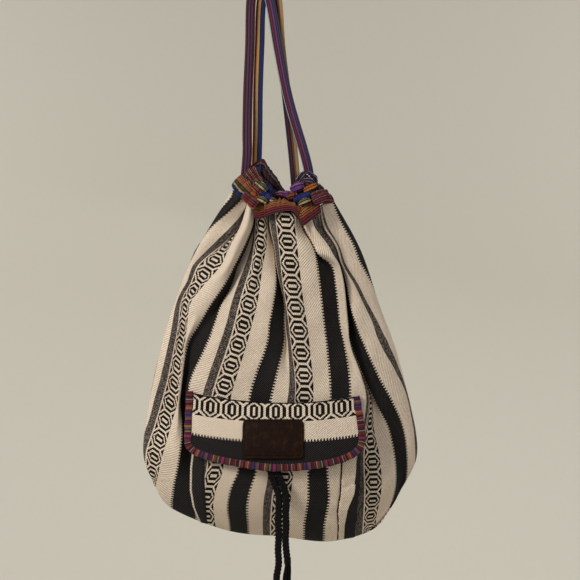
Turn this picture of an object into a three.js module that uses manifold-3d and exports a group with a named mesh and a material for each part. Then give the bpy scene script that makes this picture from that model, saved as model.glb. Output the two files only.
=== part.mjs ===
// A drawstring bag of striped woven cloth, hanging by its two drawstrings.
// Millimetres, +Z up, the front faces -Y. The drawstrings hang on a peg at the origin.
import * as THREE from 'three';
import { LoftGeometry } from 'three/addons/geometries/LoftGeometry.js';
import { mergeVertices } from 'three/addons/utils/BufferGeometryUtils.js';
import Module from 'manifold-3d';

// Clearance between pieces that touch, and the weight of the cloth
const gap = 0.3;
const cloth = 2;

// Body
const hangDrop = 306; // peg down to the middle of the gathered front
const bodyHeight = 386;
const bodyWidth = 331;
const bodyShift = 21.5; // the body hangs this far to the right of the peg
const frontDepth = 50;
const backDepth = 40;
const widestLevel = 0.3;

// Mouth and the casings round it
const mouthWidth = 120;
const mouthShift = 24;
const mouthFront = 32;
const mouthBack = 27;
const casingHeight = 30;
const casingThickness = 13;
const casingWall = 1;
const gatherDepth = 2.4;
const rimSteps = 42; // stations along each half of the mouth, from seam to seam
const exitSteps = 7; // of those, left open at each seam for the drawstrings
const gatherSteps = 4; // stations in one gather of the casing

// Folds that run down the panels from the gathers
const foldWidth = 0.045; // share of the panel's width
const foldDepth = 16; // of the deepest fold

// Drawstrings
const strapWidth = 11;
const strapThickness = 2.5;
const strapSpread = 2.4; // how far each strap lies from the channel's middle plane
const pegRadius = 7;
const loopSpacing = 16; // between the middles of the two loops on the peg

// Pocket
const pocketWidth = 196;
const pocketShift = 17;
const pocketDepth = 22;
const pocketHem = 10; // bottom seam of the pocket above the body's bottom seam
const pocketMouthDrop = 24; // pocket's top edge below the flap's top edge
const gussetInset = 12;

// Flap with its binding and patch
const flapWidth = 208;
const flapHeight = 80;
const flapShift = 16;
const flapDrop = 515; // peg down to the flap's top edge
const flapSag = 8;
const flapStand = 7; // room under the flap for the tie
const bindingWidth = 9;
const bindingWall = 1;
const bindingGap = 0.7; // the flap's edge lies this loose in its binding
const patchWidth = 70;
const patchHeight = 44;
const patchRadius = 5;
const patchThickness = 2;
const patchDrop = 559;
const patchShift = 14;

// Tie
const tieDiameter = 6;
const tieSpacing = 7.4;
const tieShift = 20;
const knotWidth = 16;
const knotHeight = 13;
const knotThickness = 6;
const knotDrop = 586;
const leftStrandLength = 122;
const rightStrandLength = 104;
const tasselLength = 34;
const tasselWidth = 10;

const wasm = await Module();
wasm.setup();

const { lerp, clamp, smoothstep } = THREE.MathUtils;
const flat = (x, z) => new THREE.Vector3(x, 0, z);
const spline = points => new THREE.CatmullRomCurve3(points);
const roundStep = t => (1 - Math.cos(Math.PI * t)) / 2;

// Sheets: a patch of four edges, and a closed shell between two faces

// Point at (s, v) of the patch that fills the space between four edge curves.
function edgePatch(bottom, top, left, right) {
	const corners = [left.getPoint(0), right.getPoint(0), left.getPoint(1), right.getPoint(1)];
	return (s, v) => {
		const p = new THREE.Vector3();
		p.addScaledVector(bottom.getPointAt(s), 1 - v).addScaledVector(top.getPointAt(s), v);
		p.addScaledVector(left.getPointAt(v), 1 - s).addScaledVector(right.getPointAt(v), s);
		p.addScaledVector(corners[0], -(1 - s) * (1 - v)).addScaledVector(corners[1], -s * (1 - v));
		p.addScaledVector(corners[2], -(1 - s) * v).addScaledVector(corners[3], -s * v);
		return p;
	};
}

// Solid through a row of sections, with both ends capped. Turned rings run the other way round.
function loft(sections, turned) {
	const rings = turned ? sections.map(ring => ring.toReversed()) : sections;
	return new LoftGeometry(rings, { capStart: true, capEnd: true });
}

// Closed shell of two faces, each a function of (s, v): a row of sections from left to right.
function shell(outer, inner, columns, rows, acrossStep, upStep, turned = true) {
	const sections = [];
	for (let k = 0; k <= columns; k++) {
		const s = acrossStep(k / columns);
		const ring = [];
		for (let row = 0; row <= rows; row++) ring.push(outer(s, upStep(row / rows)));
		for (let row = rows; row >= 0; row--) ring.push(inner(s, upStep(row / rows)));
		sections.push(ring);
	}
	return loft(sections, turned);
}

// Booleans

function toSolid(geometry) {
	const bare = new THREE.BufferGeometry();
	bare.setAttribute('position', geometry.attributes.position);
	bare.setIndex(geometry.index);
	const merged = mergeVertices(bare, 1e-3);
	const vertProperties = new Float32Array(merged.attributes.position.array);
	const triVerts = new Uint32Array(merged.index.array);
	return new wasm.Manifold(new wasm.Mesh({ numProp: 3, vertProperties, triVerts }));
}

function toGeometry(solid) {
	const mesh = solid.getMesh();
	const geometry = new THREE.BufferGeometry();
	geometry.setAttribute('position', new THREE.BufferAttribute(new Float32Array(mesh.vertProperties), 3));
	geometry.setIndex(new THREE.BufferAttribute(new Uint32Array(mesh.triVerts), 1));
	return geometry;
}

// Body outline: shares of the half width and of the height

const bodyBottom = -hangDrop - bodyHeight;
const outline = ([across, up]) => flat(bodyShift + across * bodyWidth / 2, bodyBottom + up * bodyHeight);
const mouth = ([across, rise]) => flat(mouthShift + across * mouthWidth / 2, rise - hangDrop);
const leftMouth = [-1, 36];
const rightMouth = [1, 24];
const leftSide = [[-0.916, 0.176], [-0.995, 0.298], [-0.886, 0.565], [-0.771, 0.741], [-0.608, 0.907]];
const rightSide = [[0.891, 0.176], [0.993, 0.298], [0.86, 0.565], [0.715, 0.741], [0.582, 0.907]];
const bottomSide = [[-0.789, 0.104], [-0.378, 0.034], [0, 0.016], [0.353, 0.001], [0.661, 0.036], [0.8, 0.104]];
const frontTop = [leftMouth, [-0.7, 14], [0, 0], [0.38, -8], [0.7, 6], rightMouth];
const backTop = [leftMouth, [-0.4, 22], [0, 14], [0.5, 16], rightMouth];

const leftEdge = spline([...leftSide.map(outline), mouth(leftMouth)]);
const rightEdge = spline([...rightSide.map(outline), mouth(rightMouth)]);
const bottomEdge = spline([leftSide[0], ...bottomSide, rightSide[0]].map(outline));
const frontPatch = edgePatch(bottomEdge, spline(frontTop.map(mouth)), leftEdge, rightEdge);
const backPatch = edgePatch(bottomEdge, spline(backTop.map(mouth)), leftEdge, rightEdge);

// Each fold: its place across at the top and at its foot, the level of its foot, and its share of the depth
const frontFolds = [
	{ top: 0.2, foot: 0.13, level: 0.6, share: 0.6875 },
	{ top: 0.33, foot: 0.18, level: 0.52, share: 0.9375 },
	{ top: 0.45, foot: 0.52, level: 0.54, share: 0.875 },
	{ top: 0.67, foot: 0.8, level: 0.5, share: 1 },
	{ top: 0.81, foot: 0.88, level: 0.6, share: 0.625 },
];
const backFolds = [0.2, 0.36, 0.52, 0.67, 0.82].map(place => (
	{ top: place, foot: lerp(0.5, place, 1.15), level: 0.62, share: 0.75 }));

function foldAt(folds, s, v) {
	let depth = 0;
	for (const fold of folds) {
		const down = clamp((1 - v) / (1 - fold.level), 0, 1);
		const middle = lerp(fold.top, fold.foot, down);
		const run = smoothstep(v, fold.level, 0.82) * (1 - smoothstep(v, 0.9, 1));
		depth += foldDepth * fold.share * run * Math.exp(-(((s - middle) / foldWidth) ** 2));
	}
	return depth;
}

// How far a panel stands out: nothing along the side and bottom seams, most at the widest level.
function swell(s, v, depth, mouthDepth) {
	const low = Math.min(v / widestLevel, 1);
	const rise = smoothstep(v, widestLevel, 1);
	const arch = Math.sqrt(Math.max(1 - Math.abs(2 * s - 1) ** 2.4, 0));
	return Math.sqrt(1 - (1 - low) ** 2) * lerp(depth, mouthDepth, rise) * arch;
}

function frontPoint(s, v) {
	const p = frontPatch(s, v);
	p.y = foldAt(frontFolds, s, v) - swell(s, v, frontDepth, mouthFront) - gap / 2;
	return p;
}

// The back hangs against a wall, so it is pressed flat where it would stand out further.
function backPoint(s, v) {
	const p = backPatch(s, v);
	const out = Math.min(swell(s, v, backDepth * 1.3, mouthBack), backDepth);
	p.y = out - foldAt(backFolds, s, v) + gap / 2;
	return p;
}

// Rim of the mouth: the casing's frame at t, from the left seam to the right seam.
// Its band leans in from the panel's top edge towards the smaller upper edge.
const upperFront = [[-0.633, 66], [-0.3, 32], [0, 22], [0.3, 26], [0.533, 54]];
const upperBack = [[-0.633, 66], [-0.25, 46], [0.03, 36], [0.3, 40], [0.533, 54]];
const halves = {
	front: { point: frontPoint, upper: spline(upperFront.map(mouth)), upperDepth: -12, out: 1 },
	back: { point: backPoint, upper: spline(upperBack.map(mouth)), upperDepth: 11, out: -1 },
};

function rim(half, t) {
	const { point, upper, upperDepth, out } = halves[half];
	const at = q => {
		const s = roundStep(q);
		const low = point(s, 1);
		const high = upper.getPointAt(s);
		high.y = upperDepth * Math.sin(Math.PI * q);
		return { low, up: high.sub(low).normalize() };
	};
	const { low, up } = at(t);
	const along = at(Math.min(t + 0.01, 1)).low.sub(at(Math.max(t - 0.01, 0)).low);
	along.addScaledVector(up, -along.dot(up)).normalize();
	const normal = new THREE.Vector3().crossVectors(along, up).multiplyScalar(out);
	const middle = low.clone().addScaledVector(up, gap + casingHeight / 2);
	middle.addScaledVector(normal, -cloth / 2);
	return { low, up, along, normal, middle };
}

// Panels

// Direction out of a panel; it lies in the seam's plane along the seams, and follows the rim at the top.
function panelNormal(half, s, v) {
	if (v > 0.999) return rim(half, Math.acos(1 - 2 * s) / Math.PI).normal;
	const { point, out } = halves[half];
	const step = 0.004;
	const a = clamp(s, step, 1 - step);
	const b = clamp(v, step, 1 - step);
	const across = point(a + step, b).sub(point(a - step, b));
	const upward = point(a, b + step).sub(point(a, b - step));
	const normal = across.cross(upward).multiplyScalar(out);
	if (s < step || s > 1 - step || v < step) normal.y = 0;
	return normal.normalize();
}

function panel(half, rows) {
	const outer = halves[half].point;
	const inner = (s, v) => outer(s, v).addScaledVector(panelNormal(half, s, v), -cloth);
	return shell(outer, inner, rimSteps, rows, roundStep, step => step ** 1.3, half === 'front');
}

// Casings: a hollow hem swept round each half of the mouth, open at its ends

function channel(half, height, thickness, ruffle, first) {
	const sides = 12;
	const sections = [];
	for (let i = first; i <= rimSteps - first; i++) {
		const { middle, up, normal } = rim(half, i / rimSteps);
		const wave = ruffle * (0.5 - 0.5 * Math.cos(2 * Math.PI * (i - first) / gatherSteps));
		const ring = [];
		for (let k = 0; k < sides; k++) {
			const angle = 2 * Math.PI * k / sides;
			const rise = Math.sign(Math.cos(angle)) * Math.abs(Math.cos(angle)) ** 0.5;
			const side = Math.sign(Math.sin(angle)) * Math.abs(Math.sin(angle)) ** 0.6;
			const out = side > 0 ? thickness / 2 + wave : thickness / 2;
			const p = middle.clone().addScaledVector(up, rise * height / 2);
			ring.push(p.addScaledVector(normal, side * out));
		}
		sections.push(ring);
	}
	return loft(sections, half === 'back');
}

function casing(half) {
	const hem = toSolid(channel(half, casingHeight, casingThickness, gatherDepth, exitSteps));
	const hollowHeight = casingHeight - 2 * casingWall;
	const hollowThickness = casingThickness - 2 * casingWall;
	const hollow = toSolid(channel(half, hollowHeight, hollowThickness, 0, exitSteps - 1));
	return toGeometry(hem.subtract(hollow));
}

// Drawstrings: each runs round inside both casings, comes out at its own seam and loops over the peg.
// A stop on its way is a place and the direction in which its width lies.

const stop = (place, width) => ({ place, width });
const facing = new THREE.Vector3(1, 0, 0);
const endways = new THREE.Vector3(0, 1, 0);

function laneStops(half, fromLeft, spread) {
	const stops = [];
	for (let i = exitSteps + 2; i <= rimSteps; i += 2) {
		const t = i / rimSteps;
		const { middle, up, normal } = rim(half, fromLeft ? t : 1 - t);
		stops.push(stop(middle.addScaledVector(normal, spread), up));
	}
	return stops;
}

function exitStops(half, fromLeft, spread) {
	const side = half === 'front' ? -1 : 1;
	const at = (share, rise) => {
		const t = share * exitSteps / rimSteps;
		const { middle, up, normal } = rim(half, fromLeft ? t : 1 - t);
		const place = middle.addScaledVector(normal, spread).addScaledVector(up, rise);
		return { place, up };
	};
	const turn = at(0.5, strapWidth * 0.4);
	const rise = at(0.43, casingHeight / 2 + 4);
	const lean = turn.up.clone().setY(side).normalize();
	return [stop(turn.place, lean), stop(rise.place, endways.clone().multiplyScalar(side))];
}

function pegStops(middleY) {
	const radius = pegRadius + strapThickness / 2;
	return [180, 135, 90, 45, 0].map(degrees => {
		const angle = THREE.MathUtils.degToRad(degrees);
		const place = new THREE.Vector3(radius * Math.cos(angle), middleY, radius * Math.sin(angle) - pegRadius);
		return stop(place, endways);
	});
}

function drawstring(fromLeft, spread, pegY, frontRun, backRun) {
	const run = points => points.map(([x, y, z]) => stop(new THREE.Vector3(x, y, z), facing));
	const stops = [
		...laneStops('front', fromLeft, spread).reverse(),
		...exitStops('front', fromLeft, spread),
		...run(frontRun),
		...pegStops(pegY),
		...run(backRun).reverse(),
		...exitStops('back', fromLeft, spread).reverse(),
		...laneStops('back', fromLeft, spread).slice(0, -1),
	];
	const path = new THREE.CatmullRomCurve3(stops.map(each => each.place), true);
	const widths = new THREE.CatmullRomCurve3(stops.map(each => each.width), true);
	const steps = 1.5 * stops.length;
	const sections = [];
	for (let i = 0; i <= steps; i++) {
		const t = (i % steps) / steps;
		const along = path.getTangent(t);
		const width = widths.getPoint(t);
		width.addScaledVector(along, -width.dot(along)).normalize();
		const thick = new THREE.Vector3().crossVectors(along, width);
		const ring = [];
		for (let k = 0; k < 8; k++) {
			const angle = 2 * Math.PI * (k + 0.5) / 8;
			const wide = Math.sign(Math.cos(angle)) * Math.abs(Math.cos(angle)) ** 0.35;
			const deep = Math.sign(Math.sin(angle)) * Math.abs(Math.sin(angle)) ** 0.6;
			const p = path.getPoint(t).addScaledVector(width, wide * strapWidth / 2);
			ring.push(p.addScaledVector(thick, deep * strapThickness / 2));
		}
		sections.push(ring);
	}
	return new LoftGeometry(sections);
}

// Routes of the four free runs, from the casing up to the peg
const leftFrontRun = [[-18, -4, -222], [-18.3, -1, -200], [-17.5, 2, -150], [-15.3, 5, -95], [-14, 6, -42]];
const leftBackRun = [[-11, 7, -222], [-7, 6.5, -200], [-6, 7, -150], [-3.6, 9, -95], [-1.5, 10, -42]];
const rightFrontRun = [[53, -7, -238], [48, -9, -220], [31, -10, -162], [19, -10, -102], [8, -10, -42]];
const rightBackRun = [[46, 5, -244], [36, 1, -220], [29.5, -3, -162], [22, -5, -102], [17.5, -6, -42]];

// Pocket: panel and gussets, standing out from the front panel

// Y of the front panel's outer face at (x, z).
function frontY(x, z) {
	let s = clamp((x - bodyShift) / bodyWidth + 0.5, 0, 1);
	let v = clamp((z - bodyBottom) / bodyHeight, 0, 1);
	for (let i = 0; i < 24; i++) {
		const p = frontPatch(s, v);
		s = clamp(s + (x - p.x) / bodyWidth, 0, 1);
		v = clamp(v + (z - p.z) / bodyHeight, 0, 1);
	}
	return frontPoint(s, v).y;
}

// Z of the body's bottom seam at x.
function bottomZ(x) {
	let low = 0;
	let high = 1;
	for (let i = 0; i < 24; i++) {
		const middle = (low + high) / 2;
		if (bottomEdge.getPointAt(middle).x < x) low = middle;
		else high = middle;
	}
	return bottomEdge.getPointAt(low).z;
}

const flapTop = -flapDrop;
const pocketTop = flapTop - pocketMouthDrop;
const pocketBottom = x => bottomZ(x) + pocketHem;

// How far the pocket's inner face stands off the body.
function pocketLift(x, z) {
	const low = pocketBottom(x);
	const up = clamp((z - low) / (flapTop - low), 0, 1);
	const across = 2 * (x - pocketShift) / pocketWidth;
	return pocketDepth * Math.sin(Math.PI * up) * (1 - 0.3 * across ** 2) + gap;
}

const pocketLeft = pocketShift - pocketWidth / 2;
const pocketRight = pocketShift + pocketWidth / 2;

function pocketPanel() {
	const left = pocketLeft + gussetInset;
	const right = pocketRight - gussetInset;
	const face = extra => (s, v) => {
		const x = lerp(left, right, s);
		const z = lerp(pocketBottom(x), pocketTop, v);
		return new THREE.Vector3(x, frontY(x, z) - pocketLift(x, z) - extra, z);
	};
	return shell(face(cloth), face(0), 16, 12, t => t, t => t ** 1.2);
}

function pocketGusset(side) {
	const onBody = side < 0 ? pocketLeft : pocketRight;
	const onPanel = onBody - side * (gussetInset - gap);
	const sections = [];
	for (let i = 0; i <= 12; i++) {
		const z = lerp(pocketBottom(onPanel), pocketTop, (i / 12) ** 1.2);
		const back = new THREE.Vector3(onBody, frontY(onBody, z) - 2 * gap, z);
		const lift = pocketLift(onPanel, z) + gap;
		const front = new THREE.Vector3(onPanel, frontY(onPanel, z) - lift, z);
		const run = front.clone().sub(back).normalize();
		const out = new THREE.Vector3(side * Math.abs(run.y), -Math.abs(run.x), 0);
		const ring = [back, front];
		ring.push(front.clone().addScaledVector(out, cloth), back.clone().addScaledVector(out, cloth));
		sections.push(ring);
	}
	return loft(sections, side < 0);
}

// Flap: its cloth, the binding round three edges and the leather patch

const bindingBuild = bindingGap + bindingWall;

// Y of the flap's inner face: against the body at the top, clear of the pocket below.
function flapY(x, z) {
	const stand = smoothstep(flapTop - z, 0, pocketMouthDrop) * (cloth + flapStand);
	return frontY(x, z) - pocketLift(x, z) - bindingBuild - stand;
}

// Edges of the flap, drawn in by an inset on the three bound sides.
function flapEdges(inset) {
	const left = flapShift - flapWidth / 2 + inset;
	const right = flapShift + flapWidth / 2 - inset;
	const low = flapTop - flapHeight + inset;
	const span = right - left;
	const shape = [[0, 0.34], [0.035, 0.18], [0.25, 0.04], [0.52, 0], [0.76, 0.05], [0.96, 0.22], [1, 0.38]];
	const hem = shape.map(([across, up]) => flat(left + across * span, low + up * flapHeight));
	const leftTop = flat(left, flapTop);
	const rightTop = flat(right, flapTop);
	return {
		bottom: spline(hem),
		left: new THREE.LineCurve3(hem[0], leftTop),
		right: new THREE.LineCurve3(hem[hem.length - 1], rightTop),
		top: new THREE.QuadraticBezierCurve3(leftTop, flat((left + right) / 2, flapTop - 2 * flapSag), rightTop),
	};
}

function pocketFlap() {
	const { bottom, left, right, top } = flapEdges(bindingWall + bindingGap);
	const patch = edgePatch(bottom, top, left, right);
	const face = extra => (s, v) => {
		const p = patch(s, v);
		return p.setY(flapY(p.x, p.z) - extra);
	};
	return shell(face(cloth), face(0), 22, 10, t => t, t => t);
}

function flapBinding() {
	const { bottom, left, right } = flapEdges(0);
	const path = new THREE.CurvePath();
	path.add(new THREE.LineCurve3(left.v2, left.v1));
	path.add(bottom);
	path.add(right);
	const half = cloth / 2 + bindingBuild;
	const slot = cloth / 2 + bindingGap;
	const profile = [[0, half], [bindingWidth, half], [bindingWidth, slot], [bindingWall, slot]];
	const section = [...profile, ...profile.map(([inward, deep]) => [inward, -deep]).reverse()];
	const sections = [];
	const steps = 44;
	for (let i = 0; i <= steps; i++) {
		const t = i / steps;
		const place = path.getPointAt(t);
		const along = path.getPointAt(Math.min(t + 0.004, 1)).sub(path.getPointAt(Math.max(t - 0.004, 0)));
		const inward = flat(-along.z, along.x).normalize();
		const ring = section.map(([inset, deep]) => {
			const p = place.clone().addScaledVector(inward, inset);
			return p.setY(flapY(p.x, p.z) - cloth / 2 - deep);
		});
		sections.push(ring);
	}
	return loft(sections, true);
}

function leatherPatch() {
	const steps = 16;
	const sections = [];
	for (let i = 0; i <= steps; i++) {
		const across = roundStep(i / steps) - 0.5;
		const x = patchShift + across * patchWidth;
		const past = Math.max(Math.abs(across) * patchWidth - patchWidth / 2 + patchRadius, 0);
		const corner = patchRadius - Math.sqrt(Math.max(patchRadius ** 2 - past ** 2, 0));
		const half = patchHeight / 2 - corner;
		const ring = [];
		for (const up of [-1, -0.33, 0.33, 1]) {
			const z = up * half - patchDrop;
			ring.push(new THREE.Vector3(x, flapY(x, z) - cloth - gap, z));
		}
		for (const p of [...ring].reverse()) ring.push(p.clone().setY(p.y - patchThickness));
		sections.push(ring);
	}
	return loft(sections, false);
}

// Tie: a knot on the pocket under the flap, and two braided strands with tassels

const pocketFace = (x, z) => frontY(x, z) - pocketLift(x, z) - cloth;
const knotY = pocketFace(tieShift, -knotDrop) - gap - knotThickness / 2;
const knotLow = -knotDrop - knotHeight / 2;

function tieKnot() {
	const geometry = new THREE.SphereGeometry(0.5, 14, 10);
	geometry.scale(knotWidth, knotThickness, knotHeight);
	geometry.translate(tieShift, knotY, -knotDrop);
	return geometry;
}

// Middle line of a strand: it starts below the knot and lies on the pocket before it hangs free.
function strandPath(side, length) {
	const start = knotLow - gap;
	const sway = [0, 0.5, -0.5, 0.4, side * 2];
	const points = sway.map((aside, i) => {
		const z = start - length * i / (sway.length - 1);
		const x = tieShift + side * tieSpacing / 2 + aside;
		const rest = z > bodyBottom ? pocketFace(x, z) - tieDiameter / 2 - 2 * gap : knotY;
		return new THREE.Vector3(x, Math.min(knotY, rest) - 1.5 * Math.min(i, 1), z);
	});
	return spline(points);
}

function tieStrand(side, length) {
	const section = new THREE.Shape();
	section.absarc(0, 0, tieDiameter / 2, 0, 2 * Math.PI);
	const extrudePath = strandPath(side, length);
	return new THREE.ExtrudeGeometry(section, { steps: 12, curveSegments: 10, extrudePath });
}

function tieTassel(side, length) {
	const end = strandPath(side, length).getPoint(1);
	const neck = tieDiameter / 2;
	const wide = tasselWidth / 2;
	const profile = [[0, 0], [neck, 0], [wide * 0.8, -4], [wide * 0.75, -9], [wide, -tasselLength], [0, -tasselLength]];
	const geometry = new THREE.LatheGeometry(profile.map(([r, y]) => new THREE.Vector2(r, y)).reverse(), 12);
	geometry.rotateX(Math.PI / 2);
	geometry.translate(end.x, end.y, end.z - gap);
	return geometry;
}

// The assembled bag

const bag = new THREE.Group();

function add(name, geometry, color, roughness) {
	const material = new THREE.MeshStandardMaterial({ color, roughness, metalness: 0 });
	const mesh = new THREE.Mesh(geometry, material);
	mesh.name = name;
	bag.add(mesh);
}

const cream = 0xd6c7b0;
const striped = 0xb05c34;
const plum = 0x6e3860;
const black = 0x0e0c0e;

add('front_panel', panel('front', 12), cream, 0.95);
add('back_panel', panel('back', 12), cream, 0.95);
add('front_casing', casing('front'), striped, 0.9);
add('back_casing', casing('back'), striped, 0.9);
add('left_drawstring', drawstring(true, strapSpread, loopSpacing / 2, leftFrontRun, leftBackRun), plum, 0.9);
add('right_drawstring', drawstring(false, -strapSpread, -loopSpacing / 2, rightFrontRun, rightBackRun), plum, 0.9);
add('pocket_panel', pocketPanel(), cream, 0.95);
add('pocket_gusset_left', pocketGusset(-1), black, 0.95);
add('pocket_gusset_right', pocketGusset(1), black, 0.95);
add('pocket_flap', pocketFlap(), cream, 0.95);
add('flap_binding', flapBinding(), 0x96242c, 0.9);
add('leather_patch', leatherPatch(), 0x341e14, 0.5);
add('tie_knot', tieKnot(), black, 0.9);
add('tie_cord_left', tieStrand(-1, leftStrandLength), black, 0.9);
add('tie_cord_right', tieStrand(1, rightStrandLength), black, 0.9);
add('tie_tassel_left', tieTassel(-1, leftStrandLength), black, 0.95);
add('tie_tassel_right', tieTassel(1, rightStrandLength), black, 0.95);

export default bag;
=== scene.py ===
"""Drawstring bag of striped woven cotton, hanging by its two drawstrings.

Metres, +Z up, the front faces -Y, and the drawstrings hang on a peg at the origin.
"""

from functools import partial

import bpy
import mathutils
import numpy as np
from bpy.props import FloatProperty, FloatVectorProperty, PointerProperty
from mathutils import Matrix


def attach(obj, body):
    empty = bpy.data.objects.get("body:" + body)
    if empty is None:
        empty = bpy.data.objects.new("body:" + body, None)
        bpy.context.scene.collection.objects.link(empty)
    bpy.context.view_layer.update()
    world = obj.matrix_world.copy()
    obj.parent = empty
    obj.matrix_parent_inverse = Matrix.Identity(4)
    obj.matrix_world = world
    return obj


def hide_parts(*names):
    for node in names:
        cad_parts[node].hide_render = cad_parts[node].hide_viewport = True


bl_info = {
    "name": "Drawstring bag",
    "version": (1, 0, 0),
    "blender": (4, 5, 0),
    "location": "View3D > Sidebar > Bag",
    "description": "Builds a striped woven drawstring bag that hangs by its straps",
    "category": "Object",
}

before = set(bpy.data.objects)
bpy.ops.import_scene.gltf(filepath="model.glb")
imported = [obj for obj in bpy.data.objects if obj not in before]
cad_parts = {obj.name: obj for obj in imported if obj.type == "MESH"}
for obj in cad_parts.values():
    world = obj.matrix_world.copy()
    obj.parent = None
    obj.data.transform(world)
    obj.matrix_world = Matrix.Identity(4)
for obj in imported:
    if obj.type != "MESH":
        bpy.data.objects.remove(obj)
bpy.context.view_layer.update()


# Settings

def linear(hex_colour):
    """Linear red, green and blue of an sRGB colour such as #d6c7b0."""
    shares = np.array([int(hex_colour[i:i + 2], 16) for i in (1, 3, 5)]) / 255
    return tuple(np.where(shares <= 0.04045, shares / 12.92, ((shares + 0.055) / 1.055) ** 2.4))


def length(name, default, description):
    """Setting that is a length in metres."""
    return FloatProperty(name=name, default=default, description=description, unit="LENGTH", precision=4)


def colour(name, default, description):
    """Setting that is a colour, given in sRGB and kept linear."""
    return FloatVectorProperty(name=name, default=linear(default), description=description,
                               subtype="COLOR", min=0, max=1)


class BagSizes(bpy.types.PropertyGroup):
    """Sizes of the bag, in metres."""
    drop: length("Drop", 0.306, "Peg down to the middle of the gathered front")
    body_height: length("Body height", 0.386, "Bottom seam up to the gathers")
    body_width: length("Body width", 0.331, "Widest part of the body")
    body_shift: length("Body shift", 0.0215, "How far the body hangs to the right of the peg")
    front_depth: length("Front depth", 0.050, "How far the front stands out")
    back_depth: length("Back depth", 0.040, "How far the back stands out")
    mouth_width: length("Mouth width", 0.120, "Gathered mouth, from seam to seam")
    mouth_shift: length("Mouth shift", 0.024, "Middle of the mouth to the right of the peg")
    mouth_front: length("Mouth front", 0.032, "How far the front of the mouth stands out")
    mouth_back: length("Mouth back", 0.027, "How far the back of the mouth stands out")
    cloth: length("Cloth", 0.0012, "Thickness of the woven cloth")
    strap_width: length("Strap width", 0.0116, "Width of a drawstring")
    strap_thickness: length("Strap thickness", 0.0024, "Thickness of a drawstring")
    peg_radius: length("Peg radius", 0.007, "Radius of the peg it hangs on")
    pocket_width: length("Pocket width", 0.196, "Pocket with its gussets")
    pocket_shift: length("Pocket shift", 0.017, "Middle of the pocket to the right of the peg")
    pocket_depth: length("Pocket depth", 0.022, "How far the pocket stands off the body")
    pocket_hem: length("Pocket hem", 0.003, "Pocket's bottom seam above the body's")
    pocket_mouth_drop: length("Pocket mouth drop", 0.024, "Pocket's top edge below the flap's")
    gusset: length("Gusset", 0.016, "Width of the gusset seen from the front")
    flap_width: length("Flap width", 0.208, "Flap with its binding")
    flap_height: length("Flap height", 0.080, "Flap from its top edge to its lowest edge")
    flap_shift: length("Flap shift", 0.016, "Middle of the flap to the right of the peg")
    flap_drop: length("Flap drop", 0.515, "Peg down to the flap's top edge")
    flap_sag: length("Flap sag", 0.008, "Sag of the flap's top edge")
    binding: length("Binding", 0.0084, "Width of the flap's binding")
    patch_width: length("Patch width", 0.070, "Width of the leather patch")
    patch_height: length("Patch height", 0.044, "Height of the leather patch")
    patch_shift: length("Patch shift", 0.014, "Middle of the patch to the right of the peg")
    patch_drop: length("Patch drop", 0.559, "Peg down to the middle of the patch")
    tie: length("Tie", 0.0084, "Thickness of a braided strand")
    tie_shift: length("Tie shift", 0.0165, "Middle of the tie to the right of the peg")
    tie_drop: length("Tie drop", 0.586, "Peg down to the knot")
    tie_left: length("Left strand", 0.122, "Length of the left strand")
    tie_right: length("Right strand", 0.104, "Length of the right strand")
    tassel: length("Tassel", 0.034, "Length of the frayed end")


class BagCloth(bpy.types.PropertyGroup):
    """Lay-out of the woven stripes, in metres."""
    repeat: length("Repeat", 0.096, "Width of one run of stripes")
    band: length("Band", 0.0220, "Width of the band of octagons")
    motif: length("Motif", 0.0262, "Length of one octagon along its band")
    tooth: length("Tooth", 0.0037, "Pitch of the saw teeth on a dark stripe")
    bite: length("Bite", 0.0030, "Depth of the saw teeth")
    thread: length("Thread", 0.0009, "Width of one woven thread")
    twill: length("Twill", 0.0036, "Pitch of the diagonal lines of the weave, along a thread")


class BagColours(bpy.types.PropertyGroup):
    """Colours of the bag."""
    cream: colour("Cream", "#dac9b6", "Undyed cotton")
    charcoal: colour("Charcoal", "#151517", "Dark stripes")
    ink: colour("Ink", "#16130f", "Dark threads of the octagons")
    heather_light: colour("Heather light", "#70665f", "Light threads of the grey stripe")
    heather_dark: colour("Heather dark", "#3a3431", "Dark threads of the grey stripe")
    leather: colour("Leather", "#190b05", "Leather patch")
    # Lighter brown of rubbed places on the leather, also used as painted highlight
    leather_wear_and_highlight: colour("Worn leather", "#38200f", "Rubbed places on the leather")
    cord: colour("Cord", "#0a090b", "Braided tie")
    wall: colour("Wall", "#c9c5ba", "Floor and backdrop")


class BagStage(bpy.types.PropertyGroup):
    """Camera, floor and lights."""
    camera_distance: length("Camera distance", 1.4, "Camera in front of the peg")
    aim_across: length("Aim across", 0.033, "Point the camera looks at, to the right of the peg")
    aim_drop: length("Aim drop", 0.390, "Point the camera looks at, below the peg")
    view_width: length("View width", 0.696, "Width of the view at the bag")
    floor_drop: length("Floor drop", 1.35, "Peg down to the floor")
    backdrop_distance: length("Backdrop distance", 2.6, "Backdrop behind the bag")
    key_power: FloatProperty(name="Key", default=37, description="Key light", unit="POWER")
    fill_power: FloatProperty(name="Fill", default=7, description="Fill light", unit="POWER")
    wall_power: FloatProperty(name="Wall", default=20, description="Each light on the backdrop", unit="POWER")
    ambient: FloatProperty(name="Ambient", default=0.36, description="Strength of the light all round")


# Curves and surfaces as whole arrays

def ease(value, low, high):
    """Rises smoothly from 0 at low to 1 at high: three times the share squared, less twice its cube."""
    share = np.clip((value - low) / (high - low), 0, 1)
    return share * share * (3 - 2 * share)


def cubic(a, b, c, d, f):
    """Point at share f from b to c, on the cubic whose slopes follow the neighbours a and d."""
    return 0.5 * (2 * b + (c - a) * f + (2 * a - 5 * b + 4 * c - d) * f ** 2
                  + (3 * b - a - 3 * c + d) * f ** 3)


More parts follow.
